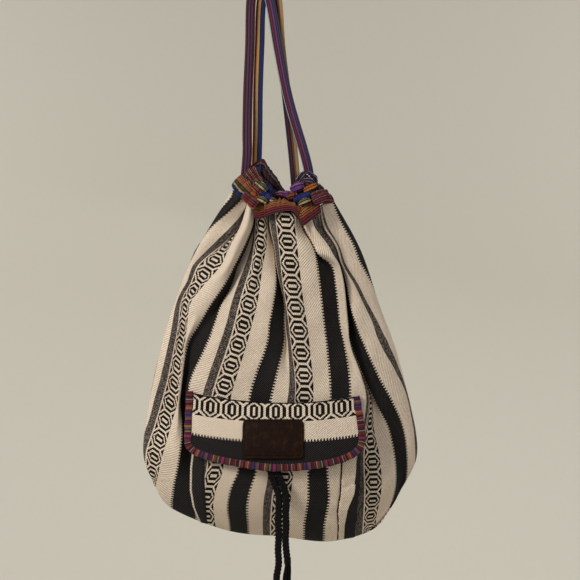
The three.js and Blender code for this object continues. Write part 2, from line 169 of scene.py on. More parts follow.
def rail(points, t):
    """Smooth curve through points at parameters t, one unit a span."""
    points = np.asarray(points, float)
    padded = np.vstack([2 * points[0] - points[1], points, 2 * points[-1] - points[-2]])
    k = np.clip(np.asarray(t).astype(int), 0, len(points) - 2)
    return cubic(padded[k], padded[k + 1], padded[k + 2], padded[k + 3], (t - k)[:, None])


def run_length(points, axis=0):
    """Distance run along one axis of a path or a grid of points, from its start."""
    gaps = np.linalg.norm(np.diff(points, axis=axis), axis=-1)
    start = np.zeros_like(np.take(gaps, [0], axis=axis))
    return np.concatenate([start, np.cumsum(gaps, axis=axis)], axis=axis)


def ring_length(points):
    """Distance run round each row of a grid, on from its last point to its first."""
    return run_length(np.concatenate([points, points[:, :1]], 1), 1)


def even_steps(points, count):
    """Parameters of count stations that lie evenly along the curve through points."""
    t = np.linspace(0, len(points) - 1, 60 * len(points))
    run = run_length(rail(points, t))
    return np.interp(np.linspace(0, run[-1], count), run, t)


def even_curve(points, count):
    """Count points that lie evenly along the curve through points."""
    return rail(points, even_steps(points, count))


def along(curve, share):
    """Points at shares of the length of an evenly stepped curve; share may be a whole grid."""
    places = np.linspace(0, 1, len(curve))
    return np.stack([np.interp(share, places, axis) for axis in curve.T], -1)


def edge_patch(bottom, top, left, right, s, v):
    """Sheet between four edge curves: the two ruled sheets added, less the sheet of the four corners."""
    s, v = s[..., None], v[..., None]
    ruled_up = (1 - v) * along(bottom, s[..., 0]) + v * along(top, s[..., 0])
    ruled_across = (1 - s) * along(left, v[..., 0]) + s * along(right, v[..., 0])
    corners = ((1 - s) * (1 - v) * left[0] + s * (1 - v) * right[0]
               + (1 - s) * v * left[-1] + s * v * right[-1])
    return ruled_up + ruled_across - corners


def unit(vectors):
    """Vectors divided by their lengths."""
    return vectors / np.maximum(np.linalg.norm(vectors, axis=-1, keepdims=True), 1e-9)


def frames(path, width):
    """Directions across and through a strip: across is width made square to the path."""
    run = unit(np.gradient(path, axis=0))
    width = np.asarray(width, float)
    across = unit(width - run * np.sum(width * run, axis=1, keepdims=True))
    return across, np.cross(run, across)


def grid(across, up):
    """Two grids of shares from 0 to 1, with rows going up and columns going across."""
    return np.meshgrid(np.linspace(0, 1, across), np.linspace(0, 1, up))


def soften(values, passes, axis):
    """Averages each value with its neighbours along an axis, again and again; both ends stay."""
    values = np.moveaxis(values, axis, 0).copy()
    for _ in range(passes):
        values[1:-1] = values[1:-1] / 2 + (values[:-2] + values[2:]) / 4
    return np.moveaxis(values, 0, axis)


def spans(edges, values):
    """Number of the span between two edges that each value lies in; past an end it is the end span."""
    return np.clip(np.searchsorted(edges, values) - 1, 0, len(edges) - 2)


def neighbours(values, k, axis):
    """Values at places k and k + 1 along an axis, for a whole grid of k."""
    return [np.take_along_axis(values, k + step, axis) for step in (0, 1)]


# Meshes

def surface(name, points, cloth, material, closed=False):
    """Object from a grid of points, with a cloth coordinate in metres for each corner.

    Rows go up and columns across, so faces look to the side where that turns anticlockwise.
    A closed grid joins its last column to its first and has both ends capped; cloth then has one
    column more.
    """
    rows, columns = points.shape[:2]
    r, c = np.meshgrid(np.arange(rows - 1), np.arange(columns if closed else columns - 1), indexing="ij")
    r, c = r.ravel(), c.ravel()
    corner = [(r, c), (r, c + 1), (r + 1, c + 1), (r + 1, c)]
    polygons = np.stack([i * columns + j % columns for i, j in corner], -1).tolist()
    uv = np.stack([cloth[i, j] for i, j in corner], 1).reshape(-1, 2)
    if closed:
        ring = np.arange(columns)
        polygons += [ring[::-1].tolist(), (ring + (rows - 1) * columns).tolist()]
        uv = np.vstack([uv, cloth[0, :columns][::-1], cloth[-1, :columns]])
    mesh = bpy.data.meshes.new(name)
    mesh.from_pydata(points.reshape(-1, 3).tolist(), [], polygons)
    mesh.uv_layers.new(name="cloth").data.foreach_set("uv", uv.astype(np.float32).ravel())
    mesh.shade_smooth()
    mesh.materials.append(material)
    made = bpy.data.objects.new(name, mesh)
    bpy.context.scene.collection.objects.link(made)
    return made


def joined(name, pieces):
    """One object of several surfaces."""
    with bpy.context.temp_override(active_object=pieces[0], selected_editable_objects=pieces):
        bpy.ops.object.join()
    pieces[0].name = pieces[0].data.name = name
    return pieces[0]


def thicken(piece, thickness):
    """Gives a sheet its thickness, behind its outer face."""
    shell = piece.modifiers.new("Cloth thickness", "SOLIDIFY")
    shell.thickness = thickness
    shell.offset = -1
    shell.use_quality_normals = True


def strip(name, path, width, section, material):
    """Closed strip or tube: a section swept along a path, its cloth running round and along it.

    Section points are (across, through), the same at each station of the path or a set for each.
    """
    across, through = frames(path, width)
    section = np.broadcast_to(section, (len(path), *np.shape(section)[-2:]))
    points = path[:, None] + section[..., :1] * across[:, None] + section[..., 1:] * through[:, None]
    ring = ring_length(points)
    cloth = np.stack([ring / ring[:, -1:], np.broadcast_to(run_length(path)[:, None], ring.shape)], -1)
    return surface(name, points, cloth, material, closed=True)


def rounded(width, thickness, count, wide=0.35, deep=0.6):
    """Section of a flat strip with rounded edges: a squared ellipse, anticlockwise."""
    angle = 2 * np.pi * (np.arange(count) + 0.5) / count
    cos, sin = np.cos(angle), np.sin(angle)
    return np.stack([np.sign(cos) * np.abs(cos) ** wide * width / 2,
                     np.sign(sin) * np.abs(sin) ** deep * thickness / 2], -1)


def tube(name, path, width, thickness, count, material):
    """Round cord or yarn along a path."""
    return strip(name, path, width, rounded(thickness, thickness, count, 1, 1), material)


def declare(piece, node):
    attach(piece, "root")
    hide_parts(node)


# Materials

# Places across the body cloth, half widths of its stripes and sizes of an octagon, in metres
SEAM = 0.206  # right side seam
FIRST_BAND = -0.166  # middle of the leftmost band of octagons
RUN_START = FIRST_BAND - 0.012  # where a run of stripes starts
DARK_STRIPE, DARK_HALF = FIRST_BAND + 0.045, 0.0111
GREY_LINE, GREY_HALF = FIRST_BAND + 0.079, 0.0047
OCTAGON_FLAT = 0.0049  # half width of an octagon's flat end
OCTAGON_SLOPE, OCTAGON_SPREAD = 1.89, 45  # slope of its sides, and how its rings spread, for each metre aside
OCTAGON_REACH = 0.02  # reach that counts as 1
OCTAGON_RINGS = (0, 0.260, 0.400, 0.585)  # where it turns dark, white, dark and white, going outwards
CORNER_SLOPE, CORNER_REACH = 0.62, 0.0151  # dark triangles in the corners between octagons
SLOT_STRETCH, SLOT_HALF = 3.25, 0.0047  # white slot in an octagon's middle
RIB = 0.00055  # half pitch of the ribs of the striped cotton
PLY = 0.0006  # half pitch of the yarns of the cord

COLOUR = {"output": 2, "data_type": "RGBA"}  # makes a mix node mix colours


def add_node(tree, kind, inputs=(), output=0, **settings):
    """Adds a shader node with its settings, and its inputs by order or by name; gives back an output.

    A kind in capitals is the operation of a math node.
    """
    if kind.isupper():
        kind, settings = "Math", {"operation": kind}
    made = tree.nodes.new("ShaderNode" + kind)
    for key, value in settings.items():
        setattr(made, key, value)
    for key, value in inputs.items() if isinstance(inputs, dict) else enumerate(inputs):
        if isinstance(value, bpy.types.NodeSocket):
            tree.links.new(value, made.inputs[key])
        else:
            made.inputs[key].default_value = value
    return made.outputs[output] if made.outputs else made


def emptied(holder):
    """Clears the nodes of a material or world, and gives back the function that adds a node to it."""
    holder.use_nodes = True
    holder.node_tree.nodes.clear()
    return partial(add_node, holder.node_tree)


def cloth_place(add):
    """Cloth coordinate in a material, and its parts across and along the cloth."""
    uv = add("UVMap", uv_map="cloth")
    parts = add("SeparateXYZ", [uv]).node.outputs
    return uv, parts[0], parts[1]


def finish_material(add, colour_socket, height, depth, **shader):
    """Ends a material in its shader: colour, a height in shares of depth, and the shader's own settings."""
    normal = add("Bump", {"Strength": 0.8, "Distance": depth, "Height": height})
    inputs = {"Base Color": colour_socket, "Normal": normal, "Specular IOR Level": 0.25}
    inputs.update({key.replace("_", " "): value for key, value in shader.items()})
    add("OutputMaterial", {"Surface": add("BsdfPrincipled", inputs)})


def opaque(rgb, factor=1.0):
    """Colour with full alpha, made lighter or darker by a factor."""
    return (*(share * factor for share in rgb), 1)


def flat_ramp(add, value, stops):
    """Colour ramp of flat steps: stops are (place from 0 to 1, colour)."""
    out = add("ValToRGB", [value])
    ramp = out.node.color_ramp
    ramp.interpolation = "CONSTANT"
    while len(ramp.elements) < len(stops):
        ramp.elements.new(1)
    # A new place can change the order of the elements, so colours are set after all places
    for element, (place, _) in zip(ramp.elements, stops):
        element.position = place
    for element, (_, rgb) in zip(ramp.elements, stops):
        element.color = opaque(rgb)
    return out


def woven_cotton(cloth, colours):
    """Body cloth: cream twill with octagon bands, saw-toothed dark stripes and grey heather lines.

    Gives the eye the stepped threads of the woven pattern, the diagonal twill and uneven yarn. The twill and
    weft are painted darker in their furrows and lighter on their raised threads: painted shade and highlight.
    """
    material = bpy.data.materials.new("Woven cotton")
    add = emptied(material)
    uv, u, v = cloth_place(add)

    # The back panel's cloth takes over past the right seam, where the band of octagons is cut away
    past = add("GREATER_THAN", [u, SEAM])
    cut = add("MULTIPLY_ADD", [past, cloth.repeat / 4, u])
    thread_u = add("SNAP", [cut, cloth.thread])
    thread_v = add("SNAP", [v, cloth.thread])
    place = add("WRAP", [thread_u, RUN_START + cloth.repeat, RUN_START])

    # Octagons: distance from the motif's middle, flat at its ends; the rings spread towards the band's edges
    off = add("SUBTRACT", [place, FIRST_BAND])
    aside = add("ABSOLUTE", [off])
    ahead = add("PINGPONG", [thread_v, cloth.motif / 2])
    side = add("SUBTRACT", [aside, OCTAGON_FLAT])
    side = add("MAXIMUM", [side, 0])
    reach = add("MULTIPLY_ADD", [side, OCTAGON_SLOPE, ahead])
    spread = add("MULTIPLY_ADD", [side, OCTAGON_SPREAD, 1])
    ring = add("DIVIDE", [reach, spread])
    ring = add("MULTIPLY", [ring, 1 / OCTAGON_REACH])
    white, dark = (0, 0, 0), (1, 1, 1)
    rings = flat_ramp(add, ring, list(zip(OCTAGON_RINGS, (dark, white, dark, white))))
    between = add("MULTIPLY_ADD", [ahead, CORNER_SLOPE, aside])
    triangles = add("GREATER_THAN", [between, CORNER_REACH])
    rings = add("MAXIMUM", [rings, triangles])
    stretched = add("MULTIPLY", [ahead, SLOT_STRETCH])
    slot = add("MAXIMUM", [stretched, aside])
    open_slot = add("GREATER_THAN", [slot, SLOT_HALF])
    in_band = add("LESS_THAN", [aside, cloth.band / 2])
    ringed = add("MULTIPLY", [rings, open_slot])
    octagons = add("MULTIPLY", [ringed, in_band])

    # Dark stripe with saw teeth, and the grey line
    smooth = add("WRAP", [cut, RUN_START + cloth.repeat, RUN_START])
    tooth = add("PINGPONG", [v, cloth.tooth / 2])
    bite = add("MapRange", [tooth, 0.10 * cloth.tooth, 0.36 * cloth.tooth, 0, cloth.bite])
    bite = add("ADD", [bite, DARK_HALF])
    stripe = add("COMPARE", [smooth, DARK_STRIPE, bite])
    line = add("COMPARE", [place, GREY_LINE, GREY_HALF])

    # Threads: each has its own tone, and the weave shows them in diagonal lines
    cell = add("CombineXYZ", [thread_u, thread_v])
    yarn = add("TexWhiteNoise", [cell], noise_dimensions="2D")
    diagonal = add("MULTIPLY_ADD", [u, 1.5, v])
    twill = add("PINGPONG", [diagonal, cloth.twill / 2])
    relief = add("MULTIPLY", [twill, 1.5 / cloth.twill])
    weft = add("PINGPONG", [v, cloth.thread])
    relief = add("MULTIPLY_ADD", [weft, 0.25 / cloth.thread, relief])
    soil = add("TexNoise", {"Vector": uv, "Scale": 14, "Detail": 4})
    # Painted shade and highlight: the colour is darker in the furrows of the twill and weft, lighter on
    # raised threads
    painted_weave_shade_and_highlight = add("MapRange", [relief, 0.1, 0.9, 0.56, 1.34])
    mottled = add("MapRange", [yarn, 0, 1, 0.86, 1.14])
    soiled = add("MapRange", [soil, 0.3, 0.7, 0.94, 1.04])
    # Painted shade of the weave, times the yarns' own tone and the soiling
    tone_and_painted_shade = add("MULTIPLY", [painted_weave_shade_and_highlight, mottled])
    tone_and_painted_shade = add("MULTIPLY", [tone_and_painted_shade, soiled])
    pick = add("GREATER_THAN", [yarn, 0.6])
    fleck = add("GREATER_THAN", [relief, 0.62])
    fleck = add("MULTIPLY", [fleck, 0.14])

    charcoal, grey, grey_dark, cream, ink = (opaque(getattr(colours, name)) for name in (
        "charcoal", "heather_light", "heather_dark", "cream", "ink"))
    charcoal = add("Mix", {0: fleck, 6: charcoal, 7: grey}, **COLOUR)
    heather = add("Mix", {0: pick, 6: grey_dark, 7: grey}, **COLOUR)
    pattern = add("Mix", {0: stripe, 6: cream, 7: charcoal}, **COLOUR)
    pattern = add("Mix", {0: line, 6: pattern, 7: heather}, **COLOUR)
    pattern = add("Mix", {0: octagons, 6: pattern, 7: ink}, **COLOUR)
    final = add("Mix", {0: 1, 6: pattern, 7: tone_and_painted_shade}, blend_type="MULTIPLY", **COLOUR)
    height = add("MULTIPLY_ADD", [yarn, 0.35, relief])
    finish_material(add, final, height, 0.0007, Roughness=0.95, Specular_IOR_Level=0.12)
    return material


def striped_cotton(name, stripes, repeat=0, waver=0.0):
    """Rep-woven cotton with flat stripes, which are (width, colour), round a piece or repeated along it.

    Gives the eye fine ribs square to the stripes, whose furrows are painted darker as painted shade, and
    slightly uneven dye. Where the cloth is bunched the stripes waver by a share of their whole width.
    """
    material = bpy.data.materials.new(name)
    add = emptied(material)
    uv, u, v = cloth_place(add)
    across, run = u, v
    if repeat:
        across = add("MULTIPLY", [v, 1 / repeat])
        across, run = add("FRACT", [across]), u
    crumple = add("TexCoord", output=3)
    crumple = add("TexNoise", {"Vector": crumple, "Scale": 260, "Detail": 2})
    crumple = add("SUBTRACT", [crumple, 0.5])
    across = add("MULTIPLY_ADD", [crumple, waver, across])
    widths = np.array([width for width, _ in stripes], float)
    starts = np.append(0, np.cumsum(widths)[:-1]) / widths.sum()
    base = flat_ramp(add, across, [(place, linear(rgb)) for place, (_, rgb) in zip(starts, stripes)])
    rib = add("PINGPONG", [run, RIB])
    rib = add("MULTIPLY", [rib, 1 / RIB])
    dye = add("TexNoise", {"Vector": uv, "Scale": 900, "Detail": 3})
    tone_and_painted_shade = add("MapRange", [dye, 0.25, 0.75, 0.62, 1.10])
    # Painted shade: the colour is darker in the furrows between the ribs
    painted_rib_shade = add("MapRange", [rib, 0, 1, 0.82, 1.08])
    tone_and_painted_shade = add("MULTIPLY", [tone_and_painted_shade, painted_rib_shade])
    final = add("Mix", {0: 1, 6: base, 7: tone_and_painted_shade}, blend_type="MULTIPLY", **COLOUR)
    finish_material(add, final, rib, 0.0003, Roughness=0.9, Sheen_Weight=0.02, Sheen_Roughness=0.5)
    return material


def pressed_leather(colours):
    """Patch leather: dark brown, finely pebbled, and lighter in random patches that are partly rubbed places
    and partly painted highlights.
    """
    material = bpy.data.materials.new("Pressed leather")
    add = emptied(material)
    uv = add("UVMap", uv_map="cloth")
    pebble = add("TexVoronoi", {"Vector": uv, "Scale": 620}, feature="SMOOTH_F1")
    crease = add("TexNoise", {"Vector": uv, "Scale": 160, "Detail": 6, "Roughness": 0.65})
    # Lighter patches: partly wear of the leather, partly painted highlight
    wear_and_highlight_noise = add("TexNoise", {"Vector": uv, "Scale": 110, "Detail": 5, "Roughness": 0.6})
    wear_and_highlight = add("MapRange", [wear_and_highlight_noise, 0.5, 0.78, 0, 0.8])
    base = add("Mix", {0: wear_and_highlight, 6: opaque(colours.leather), 7: opaque(colours.leather_wear_and_highlight)}, **COLOUR)
    height = add("MULTIPLY_ADD", [pebble, 0.5, crease])
    finish_material(add, base, height, 0.0009, Roughness=0.5, Specular_IOR_Level=0.07)
    return material


def braided_cotton(colours):
    """Tie cord: black yarn with fine slanting strands, painted darker in the grooves between them and lighter
    on their crowns: painted shade and highlight.
    """
    material = bpy.data.materials.new("Braided cotton cord")
    add = emptied(material)
    _, u, v = cloth_place(add)
    slant = add("MULTIPLY_ADD", [u, 10 * PLY, v])
    ply = add("PINGPONG", [slant, PLY])
    ply = add("MULTIPLY", [ply, 1 / PLY])
    # Painted shade and highlight: darker in the grooves between the strands, lighter on their crowns
    base = add("Mix", {0: ply, 6: opaque(colours.cord, 0.7), 7: opaque(colours.cord, 1.7)}, **COLOUR)
    finish_material(add, base, ply, 0.0003, Roughness=0.8, Specular_IOR_Level=0.15)
    return material


def matt_paint(colours):
    """Paint of the floor and backdrop, with a faint roller texture."""
    material = bpy.data.materials.new("Matt paint")
    add = emptied(material)
    place = add("TexCoord", output=3)
    roller = add("TexNoise", {"Vector": place, "Scale": 60, "Detail": 3})
    low, high = (opaque(colours.wall, factor) for factor in (0.985, 1.015))
    tone = add("Mix", {0: roller, 6: low, 7: high}, **COLOUR)
    finish_material(add, tone, roller, 0.0002, Roughness=0.9)
    return material


# Body: the outline, and how the cloth is taken up in folds

# Outline as shares of the half width and of the height; the mouth as shares across and a rise in metres
LEFT_SIDE = [(-0.916, 0.176), (-0.995, 0.298), (-0.886, 0.565), (-0.771, 0.741), (-0.608, 0.907)]
RIGHT_SIDE = [(0.891, 0.176), (0.993, 0.298), (0.86, 0.565), (0.715, 0.741), (0.582, 0.907)]
BOTTOM = [(-0.789, 0.104), (-0.378, 0.034), (0, 0.016), (0.353, 0.001), (0.661, 0.036), (0.8, 0.104)]
FRONT_TOP = [(-1, 0.036), (-0.7, 0.022), (0, 0.012), (0.38, 0.002), (0.7, 0.014), (1, 0.026)]
BACK_TOP = [(-1, 0.036), (-0.4, 0.022), (0, 0.014), (0.5, 0.016), (1, 0.024)]

# Lines between the stripes of the front, by their place across the cloth: how far right of the peg each
# lies at these drops below it, all in millimetres. Lines that run together lie in a fold.
LINE_DROPS = (278, 293, 315, 337, 348, 361, 384, 406, 430, 453, 495, 518, 554, 589, 624, 659)
FRONT_LINES = {
    -230: (-36, -50.5, -67, -81, -88, -96, -104, -117, -123, -129, -138, -143, -151, -152, -150, -144),
    -204: (-19.5, -34.5, -61.5, -79, -86.1, -94.3, -102.5, -115.3, -121.2, -127, -136.4, -141, -149.2,
           -150.4, -148, -142.2),
    -188: (-17, -20.1, -38.2, -60.4, -72.1, -83.8, -90.9, -102.5, -106.9, -111.8, -121.4, -128.7, -136.9,
           -139.9, -137.5, -131.7),
    -178: (-16.7, -19.6, -27.2, -47.8, -62.8, -77.4, -86.1, -96.6, -99, -103.5, -111.6, -118, -128.2,
           -134.6, -130.5, -124.7),
    -154: (-16.4, -19.2, -26, -36.6, -41.8, -47.4, -67.7, -83.7, -88, -90.6, -94.8, -97.7, -107.4,
           -115.9, -120.6, -118.8),
    -134: (-7.1, -8.3, -10.7, -19.2, -24.8, -31.8, -43.5, -58.9, -74, -88.5, -94.3, -96.6, -93.3, -96.6,
           -103.1, -104.8),
    -108: (-6.8, -7.9, -10.2, -17.2, -22.5, -29.4, -35.7, -47.4, -55.5, -64.1, -83.2, -85.5, -84, -80.5,
           -78, -76.5),
    -92: (-6.4, -7.5, -9.7, -12.6, -16.1, -21.2, -29.8, -36.6, -42.7, -50.7, -64.5, -71, -72.1, -71,
           -69.8, -67.4),
    -82: (-6.4, -7.2, -8.8, -10.2, -11.4, -13.3, -20.4, -26.8, -32.4, -39.2, -53, -59.3, -61.6, -61.6,
           -60.4, -58.1),
    -58: (6.1, 6.1, 6.1, 6.1, 3.8, 0.8, -1.7, -4.8, -10.9, -17.2, -29.6, -35.9, -39.4, -39.4, -38.2, -35.9),
    -38: (8.5, 8.5, 8.5, 13.5, 15.2, 16.4, 17.3, 13.6, 8.9, 5.6, -9, -14.9, -19.6, -20.7, -19.6, -18.4),
    -12: (8.8, 8.8, 8.8, 13.7, 15.5, 16.8, 21.4, 26.5, 26.7, 26.3, 16.6, 10.8, 5, 2.6, 1.5, 1.5),
    4: (9.2, 9.2, 9.2, 14.1, 15.7, 17.1, 21.8, 26.8, 27.4, 30.5, 32.2, 29.5, 23.7, 20.2, 17.8, 17.8),
    14: (13.2, 14.3, 16.5, 18.8, 20.2, 21.6, 23.9, 27.5, 30.9, 33.6, 38.5, 37.9, 34.2, 30.7, 28.3, 28.3),
    38: (38.5, 38.8, 39.4, 41.4, 42.6, 44, 46.7, 49.2, 53.1, 55.8, 59.9, 60.1, 57.5, 54, 51.7, 50.5),
    58: (43.3, 44.7, 47.7, 59, 63.4, 65, 67.9, 70.3, 72.9, 75.6, 79.1, 79.7, 77.4, 73.9, 71.5, 69.2),
    84: (43.9, 45.3, 48.2, 59.5, 65.1, 83.1, 87.2, 89.9, 92.1, 97.2, 103, 103.1, 100.7, 97.2, 94.9, 92.6),
    100: (54.5, 56.4, 60.3, 76.2, 83.2, 91.8, 96.7, 99.1, 101.4, 103.7, 117.7, 121.8, 117.1, 113, 110.7,
           110.1),
    110: (64.9, 66.9, 71.1, 86.1, 89.5, 92.1, 97.2, 99.6, 101.7, 104, 118.3, 125.3, 120.6, 118.8, 119.8,
           119.1),
    134: (66, 68, 72.2, 86.5, 90, 92.6, 97.8, 100, 101.9, 104.4, 118.6, 129.9, 132.3, 139.3, 140.5, 136.3),
    154: (66.4, 68.4, 72.6, 86.7, 90.3, 93, 98.4, 100.5, 102.1, 104.8, 119.4, 130.5, 149.2, 156.6, 157,
           151),
    180: (66.7, 68.7, 72.9, 87, 90.7, 93.5, 99.6, 103.1, 109.9, 119.4, 137.5, 151, 167.3, 172, 170.8,
           163.8),
    196: (67.2, 69.2, 73.3, 87.3, 91.2, 95.3, 108.7, 119.2, 129.5, 137, 158.6, 170.1, 179.6, 181.3,
           180.2, 173.2),
    206: (68.4, 71.5, 77.9, 90.3, 94.4, 99.7, 113.8, 124.8, 136.7, 147.5, 163.2, 172, 183.1, 186, 184.8,
           177.8),
    226: (82.1, 86.7, 96.3, 108.2, 112.4, 117.7, 131.8, 140.5, 152.1, 161.5, 174.3, 180.2, 189.5, 193,
           191.8, 184.8),
}

# Cloth at the left and right seams of the front, in millimetres, at these shares of the height
LEVELS = (0, 0.07, 0.2, 0.32, 0.47, 0.6, 0.75, 0.85, 0.93, 1)
FRONT_LEFT = (-158, -178, -190, -202, -200, -192, -204, -222, -236, -240)
FRONT_RIGHT = (178, 200, 208, 208, 214, 221, 233, 237, 240, 243)
# Where the cloth comes forward between two folds, and how deep a fold can be
RIDGES = (-0.260, -0.212, -0.144, -0.070, 0.034, 0.097, 0.192, 0.260)
FOLD_DEPTH = 0.024
# Weft, by stripe from left to right: its middle across the cloth, the height at which its count starts, how
# closely the octagons follow each other, and how many degrees it falls to the right at each of the drops (mm)
WEFT_DROPS = (300, 360, 400, 450, 520, 620)
FRONT_WEFT = (
    (-0.166, -0.4556, 1.16, (8, 30, 44, 47, 38, 25)),
    (-0.121, -0.4735, 1.12, (28, 30, 33, 33, 25, 15)),
    (-0.070, -0.5000, 1.07, (25, 25, 22, 19, 15, 8)),
    (-0.025, -0.5090, 1.04, (15, 14, 12, 10, 8, 4)),
    (0.026, -0.5147, 1.0, (4, 4, 3, 3, 2, 0)),
    (0.071, -0.5120, 1.04, (0, 0, -2, -2, -2, -2)),
    (0.122, -0.4980, 1.1, (-15, -15, -15, -12, -6, 0)),
    (0.167, -0.4970, 1.1, (-25, -28, -32, -36, -30, -18)),
)
BACK_WEFT = ((-0.166, -0.52, 1, (0,) * 6), (0.122, -0.52, 1, (0,) * 6))
WEFT_HALF = 0.0145  # half width of a stripe that has one fall of weft
# Pleats towards the mouth: place across the cloth, half width, and how far each stands out
FRONT_PLEATS = ((-0.224, 0.016, 0.006), (-0.144, 0.0105, 0.009), (-0.070, 0.016, -0.005),
                (0.034, 0.028, 0.007), (0.096, 0.013, 0.006), (0.216, 0.014, 0.007))
# Back: cloth at its left and right seams, and the pitch and half depth of its pleats
BACK_LEFT, BACK_RIGHT = -0.199, 0.191
BACK_PITCH, BACK_PLEAT = 0.072, 0.013
PASSES = 24  # rounds of stepping towards a place on the panel


def level_curve(values, v):
    """Values given at the levels, run smoothly through v, one value a row."""
    return rail(np.asarray(values)[:, None], np.interp(v, LEVELS, np.arange(len(LEVELS))))[:, 0]


def line_x(cloth, z):
    """X of the front's cloth at height z: lines run smoothly down, and cloth lies evenly between lines."""
    places = np.array(list(FRONT_LINES)) / 1000
    t = np.interp(-z.ravel() * 1000, LINE_DROPS, np.arange(len(LINE_DROPS)))
    lines = rail(np.array(list(FRONT_LINES.values())).T / 1000, t)
    k = spans(places, cloth.ravel())
    share = (cloth.ravel() - places[k]) / (places[k + 1] - places[k])
    start, stop = neighbours(lines, k[:, None], 1)
    return (start + share[:, None] * (stop - start)).reshape(cloth.shape)


def body_curves(k):
    """Edges of the body as evenly stepped curves in x and z."""
    low = -k.drop - k.body_height

    def body(rows):
        across, up = np.array(rows, float).T
        return np.stack([k.body_shift + across * k.body_width / 2, low + up * k.body_height], -1)

    def mouth(rows):
        across, rise = np.array(rows, float).T
        return np.stack([k.mouth_shift + across * k.mouth_width / 2, rise - k.drop], -1)

    edges = {
        "left": np.vstack([body(LEFT_SIDE), mouth(FRONT_TOP[:1])]),
        "right": np.vstack([body(RIGHT_SIDE), mouth(FRONT_TOP[-1:])]),
        "bottom": body([LEFT_SIDE[0], *BOTTOM, RIGHT_SIDE[0]]),
        "front": mouth(FRONT_TOP),
        "back": mouth(BACK_TOP),
    }
    return {name: even_curve(points, 300) for name, points in edges.items()}


def outline(curves, half, s, v):
    """Places in x and z at shares across and up a panel, in the sheet between its four seams."""
    return edge_patch(curves["bottom"], curves[half], curves["left"], curves["right"], s, v)


def swell(k, s, v, half):
    """How far a panel stands out.

    A quarter circle up from the bottom seam, then easing from the body's depth to the mouth's,
    times an arch across that is nothing at both side seams. The back is pressed flat.
    """
    depth, mouth = (k.front_depth, k.mouth_front) if half == "front" else (1.3 * k.back_depth, k.mouth_back)
    up = np.sqrt(1 - (1 - np.clip(v / 0.3, 0, 1)) ** 2)
    arch = np.sqrt(np.clip(1 - np.abs(2 * s - 1) ** 2.4, 0, None))
    out = up * (depth + (mouth - depth) * ease(v, 0.3, 1)) * arch
    return out if half == "front" else np.minimum(out, k.back_depth)


def weft_run(points, cloth, weft):
    """How far down the cloth each point lies.

    It is the length of the stripe's middle thread down to the point's height, less what the weft falls from
    that thread to the point. Between two stripes it goes over from one to the other.
    """
    rows = np.arange(len(cloth))
    x, z = points[..., 0], points[..., 2]
    beyond = (0, 0, 0.1)
    runs = []
    for place, start, pitch, falls in weft:
        k = np.clip(np.sum(cloth < place, axis=1) - 1, 0, cloth.shape[1] - 2)
        share = np.clip((place - cloth[rows, k]) / (cloth[rows, k + 1] - cloth[rows, k]), 0, 1)[:, None]
        thread = points[rows, k] * (1 - share) + points[rows, k + 1] * share
        thread = np.vstack([thread[:1] - beyond, thread, thread[-1:] + beyond])
        run = run_length(thread)
        down = (np.interp(start, thread[:, 2], run) - np.interp(z, thread[:, 2], run)) * pitch
        fall = np.tan(np.radians(np.interp(-z * 1000, WEFT_DROPS, falls)))
        runs.append(down - fall * (x - np.interp(z, thread[:, 2], thread[:, 0])))
    places = np.array([stripe[0] for stripe in weft])
    k = spans(places, cloth)
    share = np.clip((cloth - places[k] - WEFT_HALF) / (places[k + 1] - places[k] - 2 * WEFT_HALF), 0, 1)
    start, stop = neighbours(np.array(runs), k[None], 0)
    return (start + share * (stop - start))[0]


def front_lay(k, share, v):
    """Where the front's cloth lies: its share across the panel, its place in the cloth, and how deep it dips.

    Each column goes where its place between the stripe lines puts it. Cloth that leans away from the view
    runs into a fold and out again between two ridges, so it dips by what has leaned since the nearer ridge,
    bounded by the depth of a fold. Pleats stand out as bell curves.
    """
    curves = body_curves(k)
    left, right = (level_curve(edge, v[:, 0])[:, None] / 1000 for edge in (FRONT_LEFT, FRONT_RIGHT))
    cloth = left + share * (right - left)
    s = share.copy()
    for _ in range(PASSES):
        flat = outline(curves, "front", s, v)
        s = np.clip(s + (line_x(cloth, flat[..., 1]) - flat[..., 0]) / k.body_width, 0, 1)
    s = np.maximum.accumulate(soften(soften(s, 2, 1), 2, 0), 1)
    # Both end columns are drawn out to the side seams, and their neighbours a little less
    first, last, reach = s[:, :1], s[:, -1:], 0.06
    s = s - first * np.exp(-(s - first) / reach) + (1 - last) * np.exp(-(last - s) / reach)
    pitch = (right - left) / (share.shape[1] - 1)
    facing = np.gradient(outline(curves, "front", s, v)[..., 0], axis=1) / pitch / 0.85
    sunk = np.cumsum(np.sqrt(np.clip(1 - facing ** 2, 0, 1)) * pitch, axis=1)
    ridge = np.sum(cloth[..., None] < np.array(RIDGES), axis=1)
    at_ridge = np.take_along_axis(sunk, np.clip(ridge, 0, share.shape[1] - 1), 1)
    start, stop = neighbours(at_ridge, spans(RIDGES, cloth), 1)
    dip = FOLD_DEPTH * np.tanh(np.clip(np.minimum(sunk - start, stop - sunk), 0, None) / FOLD_DEPTH)
    dip = soften(soften(dip, 4, 1), 4, 0)
    for place, half_width, out in FRONT_PLEATS:
        dip -= out * np.exp(-((cloth - place) / half_width) ** 2) * ease(v, 0.5, 0.88)
    return s, cloth, dip


def back_lay(share, v):
    """The same for the back: evenly across, in even pleats that deepen towards the mouth."""
    cloth = BACK_LEFT + share * (BACK_RIGHT - BACK_LEFT)
    pleats = BACK_PLEAT * (1 + np.cos(cloth * 2 * np.pi / BACK_PITCH))
    return share, cloth, pleats * ease(v, 0.25, 0.9) * (0.8 + 0.2 * np.sin(40 * cloth))


